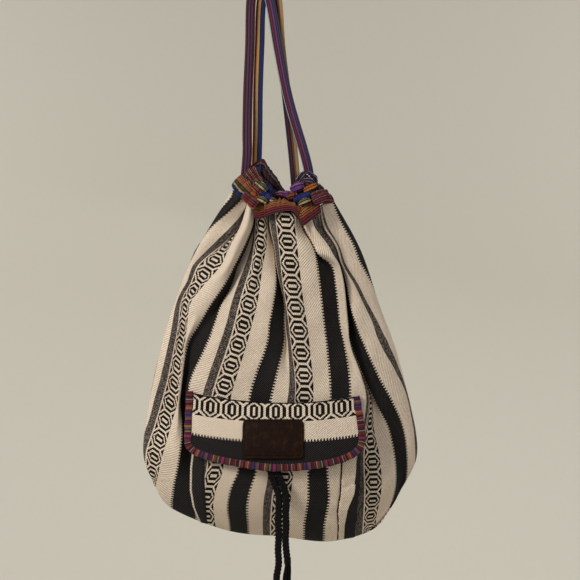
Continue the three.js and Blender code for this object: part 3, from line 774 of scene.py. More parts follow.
def panel_points(k, half, columns, rows):
    """Grid of a body panel and its cloth coordinates.

    Columns follow the cloth. The panel stands out by the swell of the body, less its folds and small drags.
    """
    share, v = grid(columns, rows)
    front = half == "front"
    s, cloth, dip = front_lay(k, share, v) if front else back_lay(share, v)
    flat = outline(body_curves(k), half, s, v)
    # Folds and drags die away at the side seams, and the drags at the bottom
    arch = np.clip(1 - np.abs(2 * s - 1) ** 6, 0, None)
    drag = (0.0016 * np.sin(95 * cloth + 9 * v) * np.sin(5 * v + 30 * cloth)
            + 0.0009 * np.sin(210 * cloth - 23 * v) * np.sin(31 * v + 40 * cloth)) * ease(v, 0.02, 0.2)
    y = (dip * (1 - 0.5 * ease(v, 0.93, 1)) + drag) * arch - swell(k, s, v, half)
    points = np.stack([flat[..., 0], y if front else -y, flat[..., 1]], -1)
    return points, np.stack([cloth, weft_run(points, cloth, FRONT_WEFT if front else BACK_WEFT)], -1)


def front_y(k, x, z):
    """Y of the front panel without its folds at (x, z): the panel's shares are found by stepping to it."""
    curves = body_curves(k)
    low = -k.drop - k.body_height
    s = np.clip((x - k.body_shift) / k.body_width + 0.5, 0, 1)
    v = np.clip((z - low) / k.body_height, 0, 1)
    for _ in range(PASSES):
        flat = outline(curves, "front", s, v)
        s = np.clip(s + (x - flat[..., 0]) / k.body_width, 0, 1)
        v = np.clip(v + (z - flat[..., 1]) / k.body_height, 0, 1)
    return -swell(k, s, v, "front")


# Casings: the sewn edge and the gathered edge in x and z, from the left end of the mouth to the right, how
# far each edge stands out, all in millimetres, and the part of an arch that they follow
FRONT_HEMS = (
    ([(-9, -305.5), (-3, -306.8), (3.8, -305)],
     [(-8.5, -291), (-3, -289.5), (4.2, -288.5)], (37.5, 30), (0.40, 0.46)),
    ([(3.2, -304.5), (12, -301.5), (23, -298.7), (32.5, -297.4), (39, -300), (44, -306)],
     [(4, -287.5), (12, -285), (23, -283.5), (33, -286.5), (38, -289.5), (42.5, -294)],
     (42.5, 32), (0.44, 0.60)),
    ([(46.5, -316.8), (52, -312.8), (60, -306.5), (69.5, -298.8)],
     [(42.5, -293.5), (48, -289), (55, -284.5), (63, -280)], (42.5, 33), (0.56, 0.84)),
)
BACK_HEM = ([(-30, -268), (-14, -276), (8, -286), (24, -290), (40, -290), (60, -284), (76, -280)],
            [(-16, -242), (-2, -233), (8.3, -244), (17.6, -256), (25, -267), (29, -272), (35, -273),
             (42, -266), (50, -257), (60, -254)], (28, 10), (0.04, 0.96))
BACK_NOTCHES = (0.0, 0.028)  # x of the deep gathers of the back casing
NOTCH_HALF = 0.0032


def hem_points(low, high, depths, arch, side):
    """Grid of a casing, on the front with side -1 or the back with 1, and the run along it.

    Each station is a smooth closed ring through six points: up the outer face, over the gathered edge and
    down the inner face. The gathers ripple it along its length, most at the gathered edge.
    """
    stations, ring_count = 220, 40
    bow = np.sin(np.pi * np.linspace(*arch, stations)) ** 0.4
    low, high = (np.insert(even_curve(np.array(edge) / 1000, stations), 1, side * depth / 1000 * bow, axis=1)
                 for edge, depth in zip((low, high), depths))
    up = unit(high - low)
    ahead = np.gradient(low, axis=0)
    out = -side * np.cross(unit(ahead - up * np.sum(ahead * up, axis=1, keepdims=True)), up)
    out = unit(soften(out, 8, 0))
    run = run_length(low)[:, None]
    pitch, drift, height = 0.0013, 0.0031, 0.0009 if side < 0 else 0.0005
    gather = np.sin(run / pitch + 1.7 * np.sin(run / drift)) * height
    notch = np.zeros_like(run)
    for place in BACK_NOTCHES if side > 0 else ():
        notch += np.exp(-((low[:, :1] - place) / NOTCH_HALF) ** 2)
    # Sewn edge, outer face, both sides of the gathered edge, inner face, and inside the sewn edge
    middle = (low + high) / 2
    corners = np.stack([low - out * 0.003 * notch,
                        middle + out * (0.0040 + 0.6 * gather - 0.004 * notch),
                        high + out * (0.001 + gather - 0.003 * notch) + up * 0.8 * gather,
                        high - out * (0.0055 - gather) - up * (0.001 - 0.8 * gather),
                        middle - out * (0.0060 - gather), low - out * 0.0025 + up * 0.004], 1)
    t = 6 * np.arange(ring_count) / ring_count
    around = (corners[:, (t.astype(int) + step) % 6] for step in (-1, 0, 1, 2))
    return cubic(*around, (t % 1)[:, None]), run


# Pocket and flap

CLEAR = 0.002  # outer face of the pocket or the flap in front of its inner face
# Cloth of the flap: its place at the top edge and at the hem, x of an octagon's middle, and how closely the
# octagons follow each other
FLAP_TOP, FLAP_LAST = FIRST_BAND - 0.0083, FIRST_BAND + 0.0555
FLAP_MIDDLE, FLAP_PITCH = 0.0165, 1.037
FLAP_HEM = [(0, 0.36), (0.022, 0.27), (0.06, 0.205), (0.146, 0.136), (0.252, 0.08), (0.41, 0.02), (0.528, 0),
            (0.677, 0.022), (0.804, 0.072), (0.889, 0.132), (0.952, 0.215), (0.989, 0.325), (1, 0.46)]


def bottom_z(k, x):
    """Z of the body's bottom seam at x."""
    curve = body_curves(k)["bottom"]
    return np.interp(x, curve[:, 0], curve[:, 1])


def pocket_lift(k, x, z):
    """How far the pocket's inner face stands off the body: half a sine up, a little flatter at the sides."""
    low = bottom_z(k, x) + k.pocket_hem
    up = np.clip((z - low) / (-k.flap_drop - low), 0, 1)
    across = 2 * (x - k.pocket_shift) / k.pocket_width
    return k.pocket_depth * np.sin(np.pi * up) * (1 - 0.3 * across ** 2) + 0.0003


def pocket_y(k, x, z):
    """Y of the pocket's outer face."""
    return front_y(k, x, z) - pocket_lift(k, x, z) - CLEAR


def flap_y(k, x, z):
    """Y of the flap's inner face: on the body at the top, clear of the pocket below."""
    stand = 0.009 * ease(-k.flap_drop - z, 0, k.pocket_mouth_drop)
    return front_y(k, x, z) - pocket_lift(k, x, z) - 0.0017 - stand


def flap_edges(k, inset):
    """Left, bottom, right and top edges of the flap in x and z, drawn in on the three bound sides."""
    left = k.flap_shift - k.flap_width / 2 + inset
    right = k.flap_shift + k.flap_width / 2 - inset
    low, top = -k.flap_drop - k.flap_height + inset, -k.flap_drop
    across, up = np.array(FLAP_HEM).T
    hem = np.stack([left + across * (right - left), low + up * k.flap_height], -1)
    share = np.linspace(0, 1, 200)
    sag = 4 * k.flap_sag * share * (1 - share)
    lift = 0.002 + 0.005 * (1 - share) ** 2
    upper = np.stack([left + (right - 0.0055 - left) * share, top - sag + lift], -1)
    left_side, right_side = (hem[end] + (upper[end] - hem[end]) * share[:, None] for end in (0, -1))
    return left_side, even_curve(hem, 200), right_side, upper


# Stripes as (share of the width, colour)

LEFT_STRAP = [(20, "#262b58"), (3, "#16121e"), (10, "#b8925e"), (4, "#a45c22"), (3, "#2a1620"),
              (7, "#743a20"), (3, "#1c1016"), (8, "#542a38"), (4, "#1c1018"), (9, "#563850"),
              (4, "#1a1018"), (9, "#4e324a"), (4, "#1c1018"), (7, "#64242f"), (3, "#5a3a20")]
RIGHT_STRAP = [(15, "#a4835e"), (9, "#664a37"), (5, "#14101a"), (8, "#502836"), (3, "#14101a"),
               (10, "#3c2f46"), (5, "#868e98"), (4, "#14101a"), (8, "#6a2840"), (3, "#14101a"),
               (8, "#6c4068"), (3, "#201520"), (7, "#3e3c66"), (3, "#16121c"), (9, "#554a56")]
FRONT_CASING = [(0.9, "#7a3a30"), (1.3, "#140c0e"), (2.0, "#6c2440"), (1.3, "#140c0e"), (1.9, "#7c2a2c"),
                (1.3, "#140c0e"), (1.9, "#9a4a2c"), (1.2, "#140c0e"), (1.3, "#8a6e40"), (1.2, "#140c0e"),
                (2.4, "#ac5a30"), (1.2, "#140c0e"), (1.4, "#93774a"), (1.2, "#140c0e"), (2.4, "#a8582e"),
                (1.1, "#140c0e"), (1.6, "#a88450"), (2, "#c09468"), (2, "#3c462a"), (2, "#c0a078"),
                (2, "#35482e"), (10, "#1c2060"), (5, "#5c2434"), (9, "#2a1c28")]
BACK_CASING = [(3, "#5c2434"), (1.2, "#160e14"), (3, "#84442c"), (1.2, "#160e14"), (3.4, "#4a2848"),
               (1.2, "#8a7c70"), (3, "#26225a"), (3, "#4c2030"), (1.2, "#6a6068"), (3, "#1c2056"),
               (2, "#160e14"), (2.5, "#4a2848"), (1, "#8a7c70"), (2, "#160e14"), (2.4, "#401c2a"),
               (2, "#221c4c"), (1.2, "#8e6848"), (2, "#160e14"), (2.4, "#4c2030"), (1, "#6c645c"),
               (2.4, "#201828"), (2, "#2c3a2c"), (2.2, "#58242e"), (2, "#160e14"), (2, "#3c2850"),
               (1, "#6e665c"), (2.4, "#341c2a"), (1.8, "#6a4230"), (2, "#160e14"), (2.2, "#2a2458"),
               (14, "#20162a")]
BINDING = [(4, "#5c1820"), (1.2, "#814a43"), (2, "#2c0f18"), (3, "#401622"), (1.2, "#8d8186"),
           (2.2, "#591b28"), (1.4, "#743e40"), (3, "#2c1119"), (3.4, "#813b28"), (1.2, "#947654"),
           (2.4, "#742822"), (3, "#2f1e42"), (1.4, "#612840"), (2.6, "#1b2248"), (2.4, "#314060"),
           (2.8, "#814028"), (1.2, "#120c11"), (3.4, "#341b47"), (2, "#681d25"), (1.2, "#120c11"),
           (1.4, "#907c5c"), (3.2, "#773928"), (2.6, "#23393c"), (1.2, "#868052"), (4, "#4d1620"),
           (3.4, "#7e325b"), (2, "#22163b"), (4, "#662022"), (2, "#403622"), (1.2, "#83808a"),
           (3, "#37141e")]

# Painted shade: one dark colour on the half of bunched cloth that is turned away
TURNED_AWAY_SHADE = "#22161e"
DARK_LINE = (1.5, "#140d12")


def bunched(*colours):
    """Stripes round bunched cloth: half is turned away and painted one dark colour as shade, then come
    (width, colour) with dark lines between.
    """
    lined = [stripe for pair in colours for stripe in (pair, DARK_LINE)]
    return [(sum(width for width, _ in lined), TURNED_AWAY_SHADE), *lined]


# Stripes of the bunched cloth, from below up
CHANNEL_STRIPES = {
    "lobe": bunched((9.5, "#181d53"), (3.6, "#9e815f"), (4.2, "#303e28"), (7, "#904d2e"), (0.9, "#9e8367"),
                    (2.4, "#8a4d34"), (2.2, "#511f29"), (0.9, "#9e866e"), (2, "#773429")),
    "gather": bunched((2, "#7c362b"), (1, "#a68c73"), (2, "#55202b"), (1.6, "#975131"), (1, "#9e7e65"),
                      (2.2, "#5f2032"), (1.6, "#85392b"), (0.9, "#978273"), (2, "#441d32"),
                      (1.6, "#283436")),
    "tube": bunched((3.6, "#a4542e"), (2.2, "#7c2e2c"), (2, "#6a3048"), (1.8, "#8a3c34"),
                    (1.4, "#a07050")),
    "green": bunched((3, "#1c2260"), (3.4, "#b8a078"), (3.6, "#44563a"), (3.2, "#b89a70")),
    "blue": bunched((5, "#1b2160"), (5, "#232a6c"), (3, "#1a1c50")),
    "rust": bunched((3.4, "#9b5332"), (2.6, "#813b2c"), (1.4, "#a27f60")),
    "beige": bunched((2.2, "#3c462a"), (3, "#bca27c"), (2, "#54603e"), (2.4, "#c0a078")),
    "dusk": bunched((2, "#3a2440"), (1, "#a89a94"), (2, "#4c2030"), (1.2, "#7c6a70"), (2, "#2a2040"),
                    (1, "#b0a49c"), (2, "#502438")),
    "lilac": bunched((2, "#4a2850"), (1.6, "#8a7c98"), (1.4, "#201828"), (1.8, "#b0a8b8"),
                     (1.4, "#2a1c38"), (2, "#6a5480"), (1.2, "#a89cac")),
    "purple": bunched((4, "#4a2a60"), (5, "#6a3a78"), (3.5, "#7c4a86"), (2.5, "#4a4a70")),
    "orange": bunched((2.4, "#8a3428"), (3.6, "#c08034"), (3, "#b85a26"), (2, "#7a2c2c")),
    "mauve": bunched((3, "#5a2c50"), (3, "#83415e"), (2, "#8a6a80"), (2.4, "#4a2038")),
    "maroon": bunched((2.4, "#6c2438"), (1.6, "#8a5058"), (2.6, "#74283a"), (1.4, "#946068"),
                      (2.6, "#6c2434"), (1.6, "#84443c")),
}

# Cloth of the channel that is bunched where the drawstrings come out: path, widths and thickness, all in
# millimetres, direction across it, and its stripes
CHANNEL_FOLDS = (
    ([(-6, -28, -284), (-14, -26, -276), (-22, -19, -267.5), (-28.5, -8, -260)], (18, 24, 26, 20), 10,
     (0.66, 0, 0.75), "lobe"),
    ([(-1, -25, -267), (-7, -23, -258), (-13.5, -16, -247.5)], (12, 16, 16), 8, (0.8, 0, 0.6), "gather"),
    ([(-6, -41, -292), (-13, -41, -286.5), (-20.5, -35, -279.5)], (11, 12, 9), 7, (0.5, 0, 0.87), "tube"),
    ([(5, -27, -273), (0, -29, -268), (-6, -26, -263)], (7, 9, 7), 7, (0.6, 0, 0.8), "green"),
    ([(12, -21, -276), (6, -23, -269), (1, -20, -263)], (7, 10, 8), 8, (0.7, 0, 0.7), "blue"),
    ([(12, -33, -286), (6, -34, -281), (-1, -32, -277)], (8, 11, 8), 8, (0.5, 0, 0.85), "blue"),
    ([(-2, -32, -276.5), (-6.5, -33, -272), (-10.5, -31, -268)], (6, 7, 6), 6, (0.7, 0, 0.7), "rust"),
    ([(5, -37, -288), (1, -38, -285), (-4, -36, -283)], (6, 8, 6), 6, (0.4, 0, 0.9), "beige"),
    ([(16, -34, -286.5), (12, -35, -284.5), (8, -33, -283.5)], (5, 6.5, 5), 6, (0.2, 0, 0.97), "beige"),
    ([(52, -17, -252), (48, -18, -256), (44, -15, -261)], (9, 13, 11), 8, (-0.75, 0, 0.66), "dusk"),
    ([(61, -11, -263), (57, -16, -257), (51.5, -18, -252)], (12, 15, 10), 8, (0.74, 0, 0.67), "lilac"),
    ([(61, -20, -265), (54, -23, -262), (47, -21, -263)], (7, 9, 7), 8, (0.2, 0, 0.97), "dusk"),
    ([(48, -26, -267.5), (42, -28, -269), (36, -23, -272)], (9, 12, 9), 9, (-0.3, 0, 0.95), "purple"),
    ([(62.5, -22, -266.5), (56, -28, -270), (49.5, -27, -273.5)], (6, 8, 6), 7, (-0.4, 0, 0.9), "orange"),
    ([(71, -9, -274), (66, -17, -268), (60, -18, -266)], (8, 10, 7), 8, (0.5, 0, 0.86), "dusk"),
    ([(55, -31, -278), (47, -35, -282), (39, -31, -285)], (8, 11, 8), 9, (-0.3, 0, 0.95), "blue"),
    ([(41, -28, -278), (36, -29, -279), (31, -25, -281)], (6, 8, 6), 7, (-0.2, 0, 0.97), "rust"),
    ([(55, -37, -285), (50, -40, -286.5), (44, -37, -289.5)], (5, 7, 5), 7, (-0.4, 0, 0.9), "beige"),
    ([(34, -15, -279), (30, -17, -276.5), (25, -13, -279)], (6, 9, 6), 7, (-0.2, 0, 0.97), "purple"),
    ([(28, -12, -278.5), (21.5, -16, -275.5), (15.5, -12, -279.5)], (7, 9, 6), 7, (0.2, 0, 0.97), "mauve"),
    ([(76, -20, -275), (66, -28, -277.5), (57, -32, -281.5)], (8, 10, 8), 8, (-0.4, 0, 0.9), "gather"),
    ([(81.5, -4, -283), (78.5, -19, -281.5), (73, -29, -281.5), (67, -34.5, -284), (60, -38, -287.5)],
     (8, 11, 13, 13, 9), 8, (-0.35, 0, 0.94), "maroon"),
)


# Operators

class BAG_OT_stage(bpy.types.Operator):
    """Set up the camera, the floor with its backdrop, and the lights"""
    bl_idname = "bag.stage"
    bl_label = "Stage"

    def execute(self, context):
        scene, stage, colours = context.scene, context.scene.bag_stage, context.scene.bag_colours
        aim = np.array([stage.aim_across, 0, -stage.aim_drop])
        camera = bpy.data.objects.new("Camera", bpy.data.cameras.new("Camera"))
        camera.location = aim - (0, stage.camera_distance, 0)
        camera.rotation_euler = (np.pi / 2, 0, 0)
        camera.data.lens = camera.data.sensor_width * stage.camera_distance / stage.view_width
        camera.data.clip_start = 0.05
        scene.collection.objects.link(camera)
        scene.camera = camera
        scene.view_settings.view_transform = "Standard"

        # Floor that sweeps up into the backdrop in a quarter circle
        near, back, bend, top, half_width = -5, stage.backdrop_distance, 1.0, 4.5, 6
        turn = np.linspace(0, np.pi / 2, 24)
        depth = np.concatenate([[near], back - bend + bend * np.sin(turn), [back]])
        rise = np.concatenate([[0], bend - bend * np.cos(turn), [top]])
        x, y = np.meshgrid(np.linspace(-half_width, half_width, 5), depth)
        points = np.stack([x, y, np.broadcast_to(rise[:, None] - stage.floor_drop, x.shape)], -1)
        surface("Backdrop", points, points[..., :2], matt_paint(colours))

        # Lights: name, place, what it points at, size, power and tint
        warm, pale = (1, 0.97, 0.93), (1, 0.99, 0.97)
        lights = (("Key", (-1.4, -1.4, 0.7), aim, 0.6, stage.key_power, (1, 0.965, 0.91)),
                  ("Fill", (1.4, -1.7, 0.1), aim, 1.6, stage.fill_power, warm),
                  ("Back", (0.3, 2.1, 0.7), aim, 1.6, 2 * stage.fill_power, warm),
                  ("Wall left", (-2.4, 0.9, 0.4), (-0.6, 2.6, -0.6), 1.2, stage.wall_power, pale),
                  ("Wall right", (2.4, 0.9, 0.4), (0.6, 2.6, -0.6), 1.2, stage.wall_power, pale))
        for name, place, target, size, power, tint in lights:
            data = bpy.data.lights.new(name, "AREA")
            data.energy, data.size, data.color = power, size, tint
            lamp = bpy.data.objects.new(name, data)
            lamp.location = place
            towards = mathutils.Vector(np.subtract(target, place))
            lamp.rotation_euler = towards.to_track_quat("-Z", "Y").to_euler()
            lamp.visible_camera = False
            scene.collection.objects.link(lamp)

        # Light all round, which the camera, reflections and light that goes through see as the wall's colour
        world = bpy.data.worlds.new("World")
        add = emptied(world)
        ray = add("LightPath").node.outputs
        seen = add("MAXIMUM", [ray["Is Camera Ray"], ray["Is Glossy Ray"]])
        seen = add("MAXIMUM", [seen, ray["Is Transmission Ray"]])
        light = add("Background", {"Color": (1, 0.985, 0.96, 1), "Strength": stage.ambient})
        wall = add("Background", {"Color": opaque(colours.wall), "Strength": 1})
        add("OutputWorld", {"Surface": add("MixShader", [seen, light, wall])})
        scene.world = world
        return {"FINISHED"}


class BAG_OT_cloth(bpy.types.Operator):
    """Make the materials that the other groups take"""
    bl_idname = "bag.cloth"
    bl_label = "Cloth"

    def execute(self, context):
        scene = context.scene
        woven_cotton(scene.bag_cloth, scene.bag_colours)
        pressed_leather(scene.bag_colours)
        braided_cotton(scene.bag_colours)
        return {"FINISHED"}


# Directions in which the width of a strip can lie
ACROSS, ENDWAYS, UPWARDS = (1, 0, 0), (0, 1, 0), (0, 0, 1)

# Free runs of the drawstrings, from the casing's front up over the peg and down to its back
LEFT_RUNS = ([(-0.0205, -0.0045, -0.256), (-0.0190, -0.004, -0.240)],
             [(-0.018, -0.004, -0.222), (-0.0183, -0.001, -0.200), (-0.0175, 0.002, -0.150),
              (-0.0153, 0.005, -0.095), (-0.014, 0.006, -0.042)],
             [(-0.0015, 0.010, -0.042), (-0.0036, 0.009, -0.095), (-0.0055, 0.007, -0.150),
              (-0.0060, 0.0065, -0.200), (-0.0065, 0.006, -0.222)],
             [(-0.0072, 0.005, -0.240), (-0.0095, 0.004, -0.257)])
RIGHT_RUNS = ([(0.0570, -0.004, -0.264), (0.0555, -0.005, -0.250)],
              [(0.053, -0.007, -0.238), (0.048, -0.009, -0.220), (0.031, -0.010, -0.162),
               (0.019, -0.010, -0.102), (0.008, -0.010, -0.042)],
              [(0.0175, -0.006, -0.042), (0.022, -0.005, -0.102), (0.0295, -0.003, -0.162),
               (0.036, 0.000, -0.220), (0.0385, 0.001, -0.246)],
              [(0.0395, 0.002, -0.258), (0.0405, 0.003, -0.272)])


class BAG_OT_drawstrings(bpy.types.Operator):
    """Make the two drawstrings, each looped over the peg"""
    bl_idname = "bag.drawstrings"
    bl_label = "Drawstrings"

    def execute(self, context):
        k = context.scene.bag_sizes
        turn = np.radians([180, 135, 90, 45, 0])
        radius = k.peg_radius + k.strap_thickness / 2
        for name, runs, peg_y, stripes in (("left_drawstring", LEFT_RUNS, 0.008, LEFT_STRAP),
                                           ("right_drawstring", RIGHT_RUNS, -0.008, RIGHT_STRAP)):
            out, up, down, back = runs
            peg = np.stack([radius * np.cos(turn), np.full(len(turn), peg_y),
                            radius * np.sin(turn) - k.peg_radius], -1)
            stops = np.vstack([out, up, peg, down, back])
            widths = [ACROSS] * len(out + up) + [ENDWAYS] * len(peg) + [ACROSS] * len(down + back)
            t = even_steps(stops, 260)
            path, width = rail(stops, t), rail(widths, t)
            # The tape is cupped along its middle and waves a little at its edges
            section = rounded(k.strap_width, k.strap_thickness, 24)
            run = run_length(path)[:, None]
            edge = section[:, 0] / (k.strap_width / 2)
            wave = 0.0004 * np.sin(run / 0.021 + 2 * edge) * edge + 0.0005 * edge ** 2
            section = np.stack([np.broadcast_to(section[:, 0], wave.shape), section[:, 1] + wave], -1)
            cotton = striped_cotton("Strap cotton " + name, stripes)
            tape = strip(name + "_tape", path, width, section, cotton)
            declare(tape, name)
        return {"FINISHED"}


PLAIT = 0.0125  # length in which a strand of the tie goes to both sides once
YARNS = 34  # yarns in a tassel


def plait(name, path, thickness, material):
    """Three-strand plait: a strand goes from side to side once while it goes in and out twice."""
    across, through = frames(path, ACROSS)
    ply = thickness / 4.6
    strands = []
    for third in range(3):
        phase = 2 * np.pi * (run_length(path) / PLAIT + third / 3)[:, None]
        aside = across * (thickness / 2 - ply) * np.sin(phase)
        strand = path + aside + through * 0.6 * ply * np.sin(2 * phase)
        strands.append(tube("ply", strand, ACROSS, 2 * ply, 10, material))
    return joined(name, strands)


def tassel(name, end, long, chance, material):
    """Frayed end: yarns that start in a wrapping, spread out and hang with a slight wave."""
    yarns = []
    for _ in range(YARNS):
        angle, spread = chance.uniform(0, 2 * np.pi), np.sqrt(chance.uniform(0, 1))
        fall = np.linspace(0, 1, 9)
        reach = spread * (0.0022 + 0.0030 * fall ** 0.7) + 0.0006 * np.sin(6 * fall + angle)
        drop = long * chance.uniform(0.82, 1)
        yarn = end + np.stack([reach * np.cos(angle), reach * np.sin(angle), 0.002 - drop * fall], -1)
        yarns.append(tube("yarn", yarn, ACROSS, 0.0011, 6, material))
    radius, rise, turns = 0.0033, 0.0012, np.linspace(0, 4, 80)
    angle = 2 * np.pi * turns
    wrap = end + np.stack([radius * np.cos(angle), radius * np.sin(angle), rise * turns - 0.004], -1)
    yarns.append(tube("wrap", wrap, UPWARDS, 0.0014, 8, material))
    return joined(name, yarns)


class BAG_OT_tie(bpy.types.Operator):
    """Make the braided tie with its knot and tassels"""
    bl_idname = "bag.tie"
    bl_label = "Tie"

    def execute(self, context):
        k = context.scene.bag_sizes
        cotton = bpy.data.materials["Braided cotton cord"]
        middle = np.array([k.tie_shift, 0, -k.tie_drop])
        middle[1] = pocket_y(k, middle[:1], middle[2:])[0] - 0.0033
        knot_half, apart, swing = 0.0068, 0.0042, 0.0075
        pocket_end = -0.692  # height below which the strands hang free
        chance = np.random.default_rng(7)
        for side, name, long in ((-1, "left", k.tie_left), (1, "right", k.tie_right)):
            # A strand wavers, swings to the right under the flap, and rests on the pocket
            share = np.linspace(0, 1, 9)
            z = middle[2] - knot_half - long * share
            waver = np.array([-0.0024, -0.0005, 0.0006, 0.0003, 0, 0.0004, -0.0003, 0.0004, side * 0.002])
            x = middle[0] + side * apart + waver + swing * ease(-z, 0.592, 0.628)
            rest = np.where(z > pocket_end, pocket_y(k, x, z) - k.tie / 2 - 0.0006, middle[1])
            y = np.minimum(middle[1], rest) - 0.0015 * np.minimum(share * 8, 1)
            path = even_curve(np.stack([x, y, z], -1), 170)
            cord = plait("tie_cord_" + name + "_braid", path, k.tie, cotton)
            end = tassel("tie_tassel_" + name + "_yarn", path[-1], k.tassel, chance, cotton)
            declare(cord, "tie_cord_" + name)
            declare(end, "tie_tassel_" + name)
        # Knot: a cord that passes three times through its own loop
        t = np.linspace(0, 2 * np.pi, 121)
        path = middle + np.stack([(np.sin(t) + 2 * np.sin(2 * t)) / 3 * 0.0050, -np.sin(3 * t) * 0.0012,
                                  (np.cos(t) - 2 * np.cos(2 * t)) / 3 * 0.0038], -1)
        knot = strip("tie_knot_cord", path, ENDWAYS, rounded(0.0046, 0.0036, 10, 1, 1), cotton)
        declare(knot, "tie_knot")
        return {"FINISHED"}


class BAG_OT_panels(bpy.types.Operator):
    """Make the front and back panels of the body"""
    bl_idname = "bag.panels"
    bl_label = "Panels"

    def execute(self, context):
        k = context.scene.bag_sizes
        for half in ("front", "back"):
            points, cloth = panel_points(k, half, columns=320, rows=140)
            if half == "back":
                points, cloth = points[:, ::-1], cloth[:, ::-1]
            sheet = surface(half + "_panel_cloth", points, cloth, bpy.data.materials["Woven cotton"])
            thicken(sheet, k.cloth)
            declare(sheet, half + "_panel")
        return {"FINISHED"}


class BAG_OT_casings(bpy.types.Operator):
    """Make the gathered casings round the mouth"""
    bl_idname = "bag.casings"
    bl_label = "Casings"

    def execute(self, context):
        cottons = {name: striped_cotton("Channel cotton " + name, stripes, waver=0.02)
                   for name, stripes in CHANNEL_STRIPES.items()}
        ends = []
        for path, widths, thickness, across, name in CHANNEL_FOLDS:
            path = even_curve(np.array(path) / 1000, 64)
            wide = even_curve(np.array(widths)[:, None] / 1000, 64)
            # Gathers cross the stripes as small ridges that fade out at both ends
            run = run_length(path)[:, None]
            fade = np.sin(np.pi * np.linspace(0, 1, 64)[:, None]) ** 0.3
            ridge = np.sin(run / 0.00075 + 2.2 * np.sin(run / 0.0021)) * fade
            size = np.stack([wide * (1 + 0.05 * ridge), thickness / 1000 * (1 + 0.24 * ridge)], -1)
            ends.append(strip("end", path, across, rounded(1, 1, 36, 0.75, 0.8) * size, cottons[name]))
        for half, side, hems, stripes, waver in (("front", -1, FRONT_HEMS, FRONT_CASING, 0.010),
                                                 ("back", 1, [BACK_HEM], BACK_CASING, 0.03)):
            cotton = striped_cotton("Casing cotton " + half, stripes, waver=waver)
            pieces = []
            for hem in hems:
                points, run = hem_points(*hem, side)
                ring = ring_length(points)
                cloth = np.stack([ring / ring[:, -1:], np.broadcast_to(run, ring.shape)], -1)
                if half == "front":
                    points, cloth = points[::-1], cloth[::-1]
                pieces.append(surface(half + "_casing_hem", points, cloth, cotton, closed=True))
            piece = joined("front_casing_hem", pieces + ends) if half == "front" else pieces[0]
            declare(piece, half + "_casing")
        return {"FINISHED"}


# Stripe lines of the pocket: place across the cloth, and x at each of the drops, in millimetres
POCKET_DROPS = (575, 598, 615, 628, 643, 663)
POCKET_LINES = ((-166, -51, -53.3, -59.2, -63.2, -64.9, -64.3), (-121, -13, -16.2, -23.8, -27.6, -29.7, -28),
                (-87, 13, 11.6, 9.8, 7.2, 6.1, 4.8), (-70, 29, 27.5, 24.7, 23.1, 21.4, 19.9),
                (-25, 63, 63.6, 64.9, 65.7, 64, 60.9), (-12, 75.5, 76.1, 77.4, 78.2, 76.5, 73.4))

# Sides of the pocket at these drops, in millimetres: x of the seam in the panel, of the panel's right edge
# and of the right gusset's edge on the body, and how far the left gusset's edge bows
SIDE_DROPS = (575, 597, 624, 645, 665)
POCKET_SEAM = (92, 91.5, 90.5, 87.5, 89)
POCKET_EDGE = (111, 110, 107, 99.5, 97)
GUSSET_EDGE = (115.5, 115, 113.5, 111.5, 110.5)
GUSSET_BOW = (0.5, -2.5, -3.5, -0.5, 6)

# Slanting wrinkles of the pocket: depth, middle in x and z, slant in radians, half width and half length
POCKET_WRINKLES = ((0.0026, 0.083, -0.630, 0.5, 0.004, 0.022), (0.0022, 0.074, -0.650, 0.6, 0.004, 0.016),
                   (-0.0016, 0.086, -0.640, 0.5, 0.006, 0.022), (0.0012, -0.045, -0.655, 0.1, 0.003, 0.02),
                   (0.0018, 0.099, -0.615, -0.5, 0.003, 0.010))
JOIN = 0.0905  # x of the column at which the panel goes over to another cut of the cloth


def side_x(z, line):
    """X at height z on one of the lines at the pocket's sides."""
    return np.interp(-z * 1000, SIDE_DROPS, line) / 1000


def pocket_sides(k):
    """X of the left and right edges of the pocket panel."""
    return k.pocket_shift - k.pocket_width / 2 + k.gusset, k.pocket_shift + k.pocket_width / 2 - k.gusset


def pocket_z(k, x, v):
    """Z at shares up the pocket, a little closer together near its bottom seam."""
    low = bottom_z(k, x) + k.pocket_hem
    return low + v ** 1.1 * (-k.flap_drop - k.pocket_mouth_drop - low)


